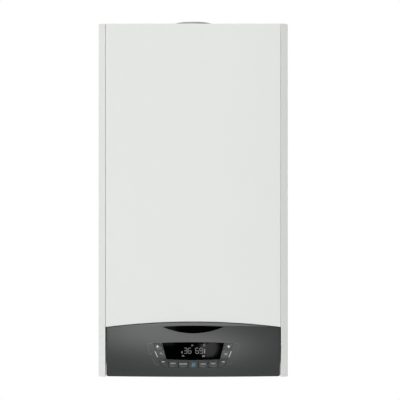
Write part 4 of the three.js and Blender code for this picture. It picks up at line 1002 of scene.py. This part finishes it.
# %% Set in the window and the lens
window = moulding("window_pane", on_panel(window_outline(0.0)), crown, window_rim, 1.2 * MM, pitch=4 * MM)
dress(window, "control_panel", black_gloss, ["display_window"])
lens = moulding("badge_lens", on_panel(lens_outline(0.0)), crown, lens_rim, 1.0 * MM, pitch=3 * MM)
dress(lens, "control_panel", black_gloss, ["badge_inlay"])
say_size("window", window)
print("packed window:", round(window_high.x - window_low.x, 4), "wide")

# %% [markdown]
# ### Keys
#
# Each key stands half a millimetre proud and is dished, so that a fingertip finds its middle. It is
# a piece of its own that rides on its own body, and goes in by less than a millimetre.

# %% Mould the keys
key_proud = 0.5 * MM
key_dish = 0.35 * MM
key_back = cover_face - 0.8 * MM
key_rim = 0.45 * MM
key_wall, key_shell = 2.5 * MM, 0.8 * MM


def dished(shape):
    """The face of the key with that outline."""
    low = Vector((min(p.x for p in shape), min(p.y for p in shape)))
    high = Vector((max(p.x for p in shape), max(p.y for p in shape)))
    middle, half = (low + high) / 2, (high - low) / 2

    def face(x, z):
        away = ((x - middle.x) / half.x) ** 2 + ((z - middle.y) / half.y) ** 2
        return crown(x, z) - key_proud + key_dish * max(0.0, 1.0 - away)

    return face


key_faces = {}
for name, shape in key_shapes.items():
    face = key_faces[name] = dished(shape)
    cap = moulding(
        name + "_cap", shape, face, key_rim, key_wall, pitch=2.5 * MM, shell=key_shell, rear=key_back
    )
    dress(cap, name, key_plastic, [name])
print("keys moulded:", len(key_faces))

# %% [markdown]
# ### Printed and lit marks
#
# A mark is a thin layer a few hundredths of a millimetre proud of what carries it. A stroke is a
# ribbon along a line; a word is set as text and pressed onto the curved key, point by point. Only
# plain words and signs are used, and the lens stays bare.

# %% Draw with strokes
lift = 0.03 * MM
capital_share = 0.7  # the height of a capital, as a share of the size of the type


def pressed_on(name, bm, face, material, body):
    for v in bm.verts:
        v.co.y = face(v.co.x, v.co.z) - lift
    bmesh.ops.recalc_face_normals(bm, faces=bm.faces)
    if sum(f.normal.y * f.calc_area() for f in bm.faces) > 0:
        bmesh.ops.reverse_faces(bm, faces=bm.faces)
    mark = placed_mesh(name, bm)
    mark.data.materials.append(material)
    layer = mark.modifiers.new("ink_layer", "SOLIDIFY")
    layer.thickness = lift * 2
    layer.offset = -1.0
    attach(mark, body)


def stroke_into(bm, line, width, closed=False):
    """Adds a ribbon of that width (in mm) along a line of (x, z') points."""
    points = stepped([Vector(p) for p in line], 1.5, closed)
    count = len(points)
    pairs = []
    for i, here in enumerate(points):
        before = points[i - 1] if (closed or i) else None
        after = points[(i + 1) % count] if (closed or i < count - 1) else None
        along = ((after or here) - (before or here)).normalized()
        side = Vector((-along.y, along.x)) * width / 2
        pairs.append([bm.verts.new((q.x * MM, 0.0, up(q.y))) for q in (here + side, here - side)])
    for i in range(count if closed else count - 1):
        a, b = pairs[i], pairs[(i + 1) % count]
        bm.faces.new((a[0], a[1], b[1], b[0]))


def sign(name, strokes, face, material, body, width=1.2, loops=()):
    """One mark made of open strokes and closed loops."""
    bm = bmesh.new()
    for line in strokes:
        stroke_into(bm, line, width)
    for line in loops:
        stroke_into(bm, line, width, closed=True)
    pressed_on(name, bm, face, material, body)


def patch(name, corners, material):
    """A small filled shape on the panel."""
    bm = bmesh.new()
    bm.faces.new([bm.verts.new((x * MM, 0.0, up(z))) for x, z in corners])
    bmesh.ops.triangulate(bm, faces=bm.faces)
    pressed_on(name, bm, crown, material, "control_panel")


def ring_line(x, z, radius, start=0.0, sweep=360.0, steps=24):
    angles = [math.radians(start + sweep * k / steps) for k in range(steps + (sweep < 360.0))]
    return [(x + radius * math.cos(a), z + radius * math.sin(a)) for a in angles]


def word(name, text, x, z, height, face, material, body, widest=16.8 * MM):
    """A word centred at (x, z'), its capitals height mm high, narrowed where it would be too wide."""
    curve = bpy.data.curves.new(name, "FONT")
    curve.body = text
    curve.align_x = "CENTER"
    curve.align_y = "CENTER"
    curve.size = height * MM / capital_share
    curve.resolution_u = 2
    lettering = placed(name, curve)
    mesh = bpy.data.meshes.new_from_object(lettering)
    bpy.data.objects.remove(lettering)
    bm = bmesh.new()
    bm.from_mesh(mesh)
    bpy.data.meshes.remove(mesh)
    span = max(v.co.x for v in bm.verts) - min(v.co.x for v in bm.verts)
    narrow = min(1.0, widest / span)
    for v in bm.verts:
        v.co = (v.co.x * narrow + x * MM, 0.0, v.co.y + up(z))
    pressed_on(name, bm, face, material, body)


# %% Mark the keys
def plus(x, z, reach):
    return [[(x - reach, z), (x + reach, z)], [(x, z - reach), (x, z + reach)]]


for side, key, x in (("left", "key_hot_water_plus", -75.0), ("right", "key_heating_plus", 74.5)):
    sign("plus_" + side, plus(x, 65.4, 2.7), key_faces[key], print_light, key, 1.5)
for side, key, x in (("left", "key_hot_water_minus", -66.0), ("right", "key_heating_minus", 60.4)):
    sign("minus_" + side, [[(x, 33.2), (x + 5.8, 33.2)]], key_faces[key], print_light, key, 1.3)
words = (("menu", -42.0, 29.6), ("comfort", -20.9, 28.6), ("auto", 20.9, 28.6), ("reset", 42.0, 29.6))
for text, x, z in words:
    name = "key_" + text
    word(name + "_word", text.upper(), x, z, 2.7, key_faces[name], print_light, name)
face = key_faces["key_power"]
sign("power_ring", [], face, lit_blue, "key_power", 1.5, loops=[ring_line(1.1, 28.0, 2.9)])
sign("power_dot", [[(1.1, 27.4), (1.1, 29.8)]], face, lit_blue, "key_power", 1.0)
print("keys marked")

# %% [markdown]
# Between the side keys the panel itself carries a tap, for hot water, and a radiator, for heating,
# with a slanted light bar beside each. Fine lines outside the band frame the whole group.

# %% Mark the panel
def sized(lines, x, z, s):
    """The lines with their middle at (x, z'), s mm to the unit."""
    return [[(x + a * s, z + b * s) for a, b in line] for line in lines]


def tap(x, z, s):
    """A tap with a spout and a cross handle."""
    lines = [[(-3, 0), (1.5, 0), (2.6, -0.8), (2.8, -2.2)]]
    return sized([*lines, [(-0.6, 0), (-0.6, 1.6)], [(-2.2, 1.7), (1.0, 1.7)]], x, z, s)


def radiator(x, z, s):
    lines = [[(a, -2.0), (a, 2.0)] for a in (-2.4, -0.8, 0.8, 2.4)]
    return sized(lines + [[(-3.0, b), (3.0, b)] for b in (1.3, -1.3)], x, z, s)


def panel_sign(name, strokes, material, width, loops=()):
    sign(name, strokes, crown, material, "control_panel", width, loops)


panel_sign("tap_mark", tap(-67.0, 50.0, 1.15), print_mid, 0.8)
panel_sign("radiator_mark", radiator(68.8, 49.4, 0.95), print_mid, 0.75)
panel_sign("bar_left", [[(-80.0, 54.9), (-74.9, 43.2)]], print_light, 1.15)
panel_sign("bar_right", [[(80.0, 54.9), (74.9, 43.2)]], print_light, 1.15)
framing = [
    [(-86.5, 72.0), (-95.0, 71.2), (-95.6, 70.2), (-92.2, 52.0), (-89.6, 48.6), (-86.2, 51.4)],
    [(-85.4, 40.2), (-81.8, 31.5), (-77.6, 27.6), (-72.0, 27.0)],
    [(84.6, 38.9), (89.6, 38.9)],
    [(72.0, 27.2), (78.2, 28.8), (82.6, 33.0)],
    [(88.5, 71.6), (94.0, 71.0), (97.0, 67.4), (95.6, 62.4), (92.4, 60.6)],
    [(92.0, 57.6), (93.6, 57.6)],
]
panel_sign("framing_lines", framing, print_faint, 0.7)

# %% [markdown]
# ### Display
#
# The display shows two temperatures in seven-segment digits, each beside a small bar graph, with a
# few icons above and below. A digit is drawn from its lit segments only.

# %% Light the display
SEGMENTS = {"3": "abgcd", "6": "afgedc", "9": "abfgcd"}


def digit(figure, x, z, width, height):
    """The lit segments of a figure whose lower left corner is at (x, z')."""
    gap = 0.55
    right, middle, top = x + width, z + height / 2, z + height
    places = {
        "a": [(x + gap, top), (right - gap, top)],
        "b": [(right, middle + gap), (right, top - gap)],
        "c": [(right, z + gap), (right, middle - gap)],
        "d": [(x + gap, z), (right - gap, z)],
        "e": [(x, z + gap), (x, middle - gap)],
        "f": [(x, middle + gap), (x, top - gap)],
        "g": [(x + gap, middle), (right - gap, middle)],
    }
    return [places[letter] for letter in SEGMENTS[figure]]


digit_foot, digit_width, digit_height = 51.0, 6.2, 11.2
digits = [("left_tens", "3", -19.4), ("left_units", "6", -10.6)]
digits += [("right_tens", "6", 5.2), ("right_units", "9", 13.8)]
for place, figure, x in digits:
    lit = digit(figure, x, digit_foot, digit_width, digit_height)
    panel_sign("digit_" + place, lit, lit_grey, 0.9)
panel_sign("graph_left", [[(-23.4, 51.2), (-23.4, 55.4)]], lit_grey, 2.0)
panel_sign("graph_right", [[(24.0, 50.8), (24.0, 60.4)]], lit_grey, 1.8)
tap_shape = [(-24.4, 44.6), (-17.8, 44.6), (-20.6, 47.6), (-22.2, 47.6)]
patch("tap_icon", tap_shape, lit_dim)
panel_sign("radiator_icon", radiator(21.6, 45.4, 0.8), lit_grey, 0.9)
patch("arrow_icon", [(-2.2, 65.6), (0.4, 69.0), (-4.6, 69.0)], lit_dim)
panel_sign("flame_icon", [], lit_dim, 0.7, loops=[ring_line(23.0, 67.8, 2.0)])
print("display lit")

# %% [markdown]
# ## Everything behind
#
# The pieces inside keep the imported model's own meshes. Each gets the finish named by its slot, a small
# bevel on its sharp edges, since no real edge is perfectly sharp, and smooth shading across its
# curves. The modifiers change only what is drawn: the mesh underneath stays as it was packed.

# %% Finish the carried pieces
finishes = [enamel, zinc, graphite, key_plastic, black_gloss, black_plastic, grey_plastic, rubber]
finishes += [board_green, cast_aluminium, stainless, brass, copper, vessel_red, red_knob, blue_knob]
finish_of = {material.name.split(".")[0]: material for material in finishes}
edge_size = 0.4 * MM
crease_angle = math.radians(32)


def smooth_by_angle():
    """A geometry-nodes group that shades every edge smooth, except those sharper than the angle."""
    group = bpy.data.node_groups.new("smooth_by_angle", "GeometryNodeTree")
    group.interface.new_socket("Geometry", in_out="INPUT", socket_type="NodeSocketGeometry")
    group.interface.new_socket("Geometry", in_out="OUTPUT", socket_type="NodeSocketGeometry")
    kinds = ["NodeGroupInput", "NodeGroupOutput", "GeometryNodeInputMeshEdgeAngle"]
    kinds += ["FunctionNodeCompare", "GeometryNodeSetShadeSmooth", "GeometryNodeSetShadeSmooth"]
    start, end, angle, below, edges, faces = [group.nodes.new(kind) for kind in kinds]
    below.operation = "LESS_THAN"
    below.inputs[1].default_value = crease_angle
    edges.domain = "EDGE"
    for source, target in (
        (angle.outputs["Unsigned Angle"], below.inputs[0]),
        (start.outputs["Geometry"], faces.inputs["Geometry"]),
        (faces.outputs["Geometry"], edges.inputs["Geometry"]),
        (below.outputs["Result"], edges.inputs["Shade Smooth"]),
        (edges.outputs["Geometry"], end.inputs["Geometry"]),
    ):
        group.links.new(source, target)
    return group


smoothing = smooth_by_angle()
for part in frame["record"]["subparts"]:
    node = frame["nodes"][part["node"]]
    for place in node.material_slots:
        place.material = finish_of[part["material_slot"]]
    weld = node.modifiers.new("join_corners", "WELD")
    weld.merge_threshold = 0.005 * MM
    edge = node.modifiers.new("soft_edges", "BEVEL")
    edge.width = edge_size
    edge.segments = 2
    edge.limit_method = "ANGLE"
    edge.angle_limit = crease_angle
    smooth = node.modifiers.new("smooth_curves", "NODES")
    smooth.node_group = smoothing
    shade_evenly(node)
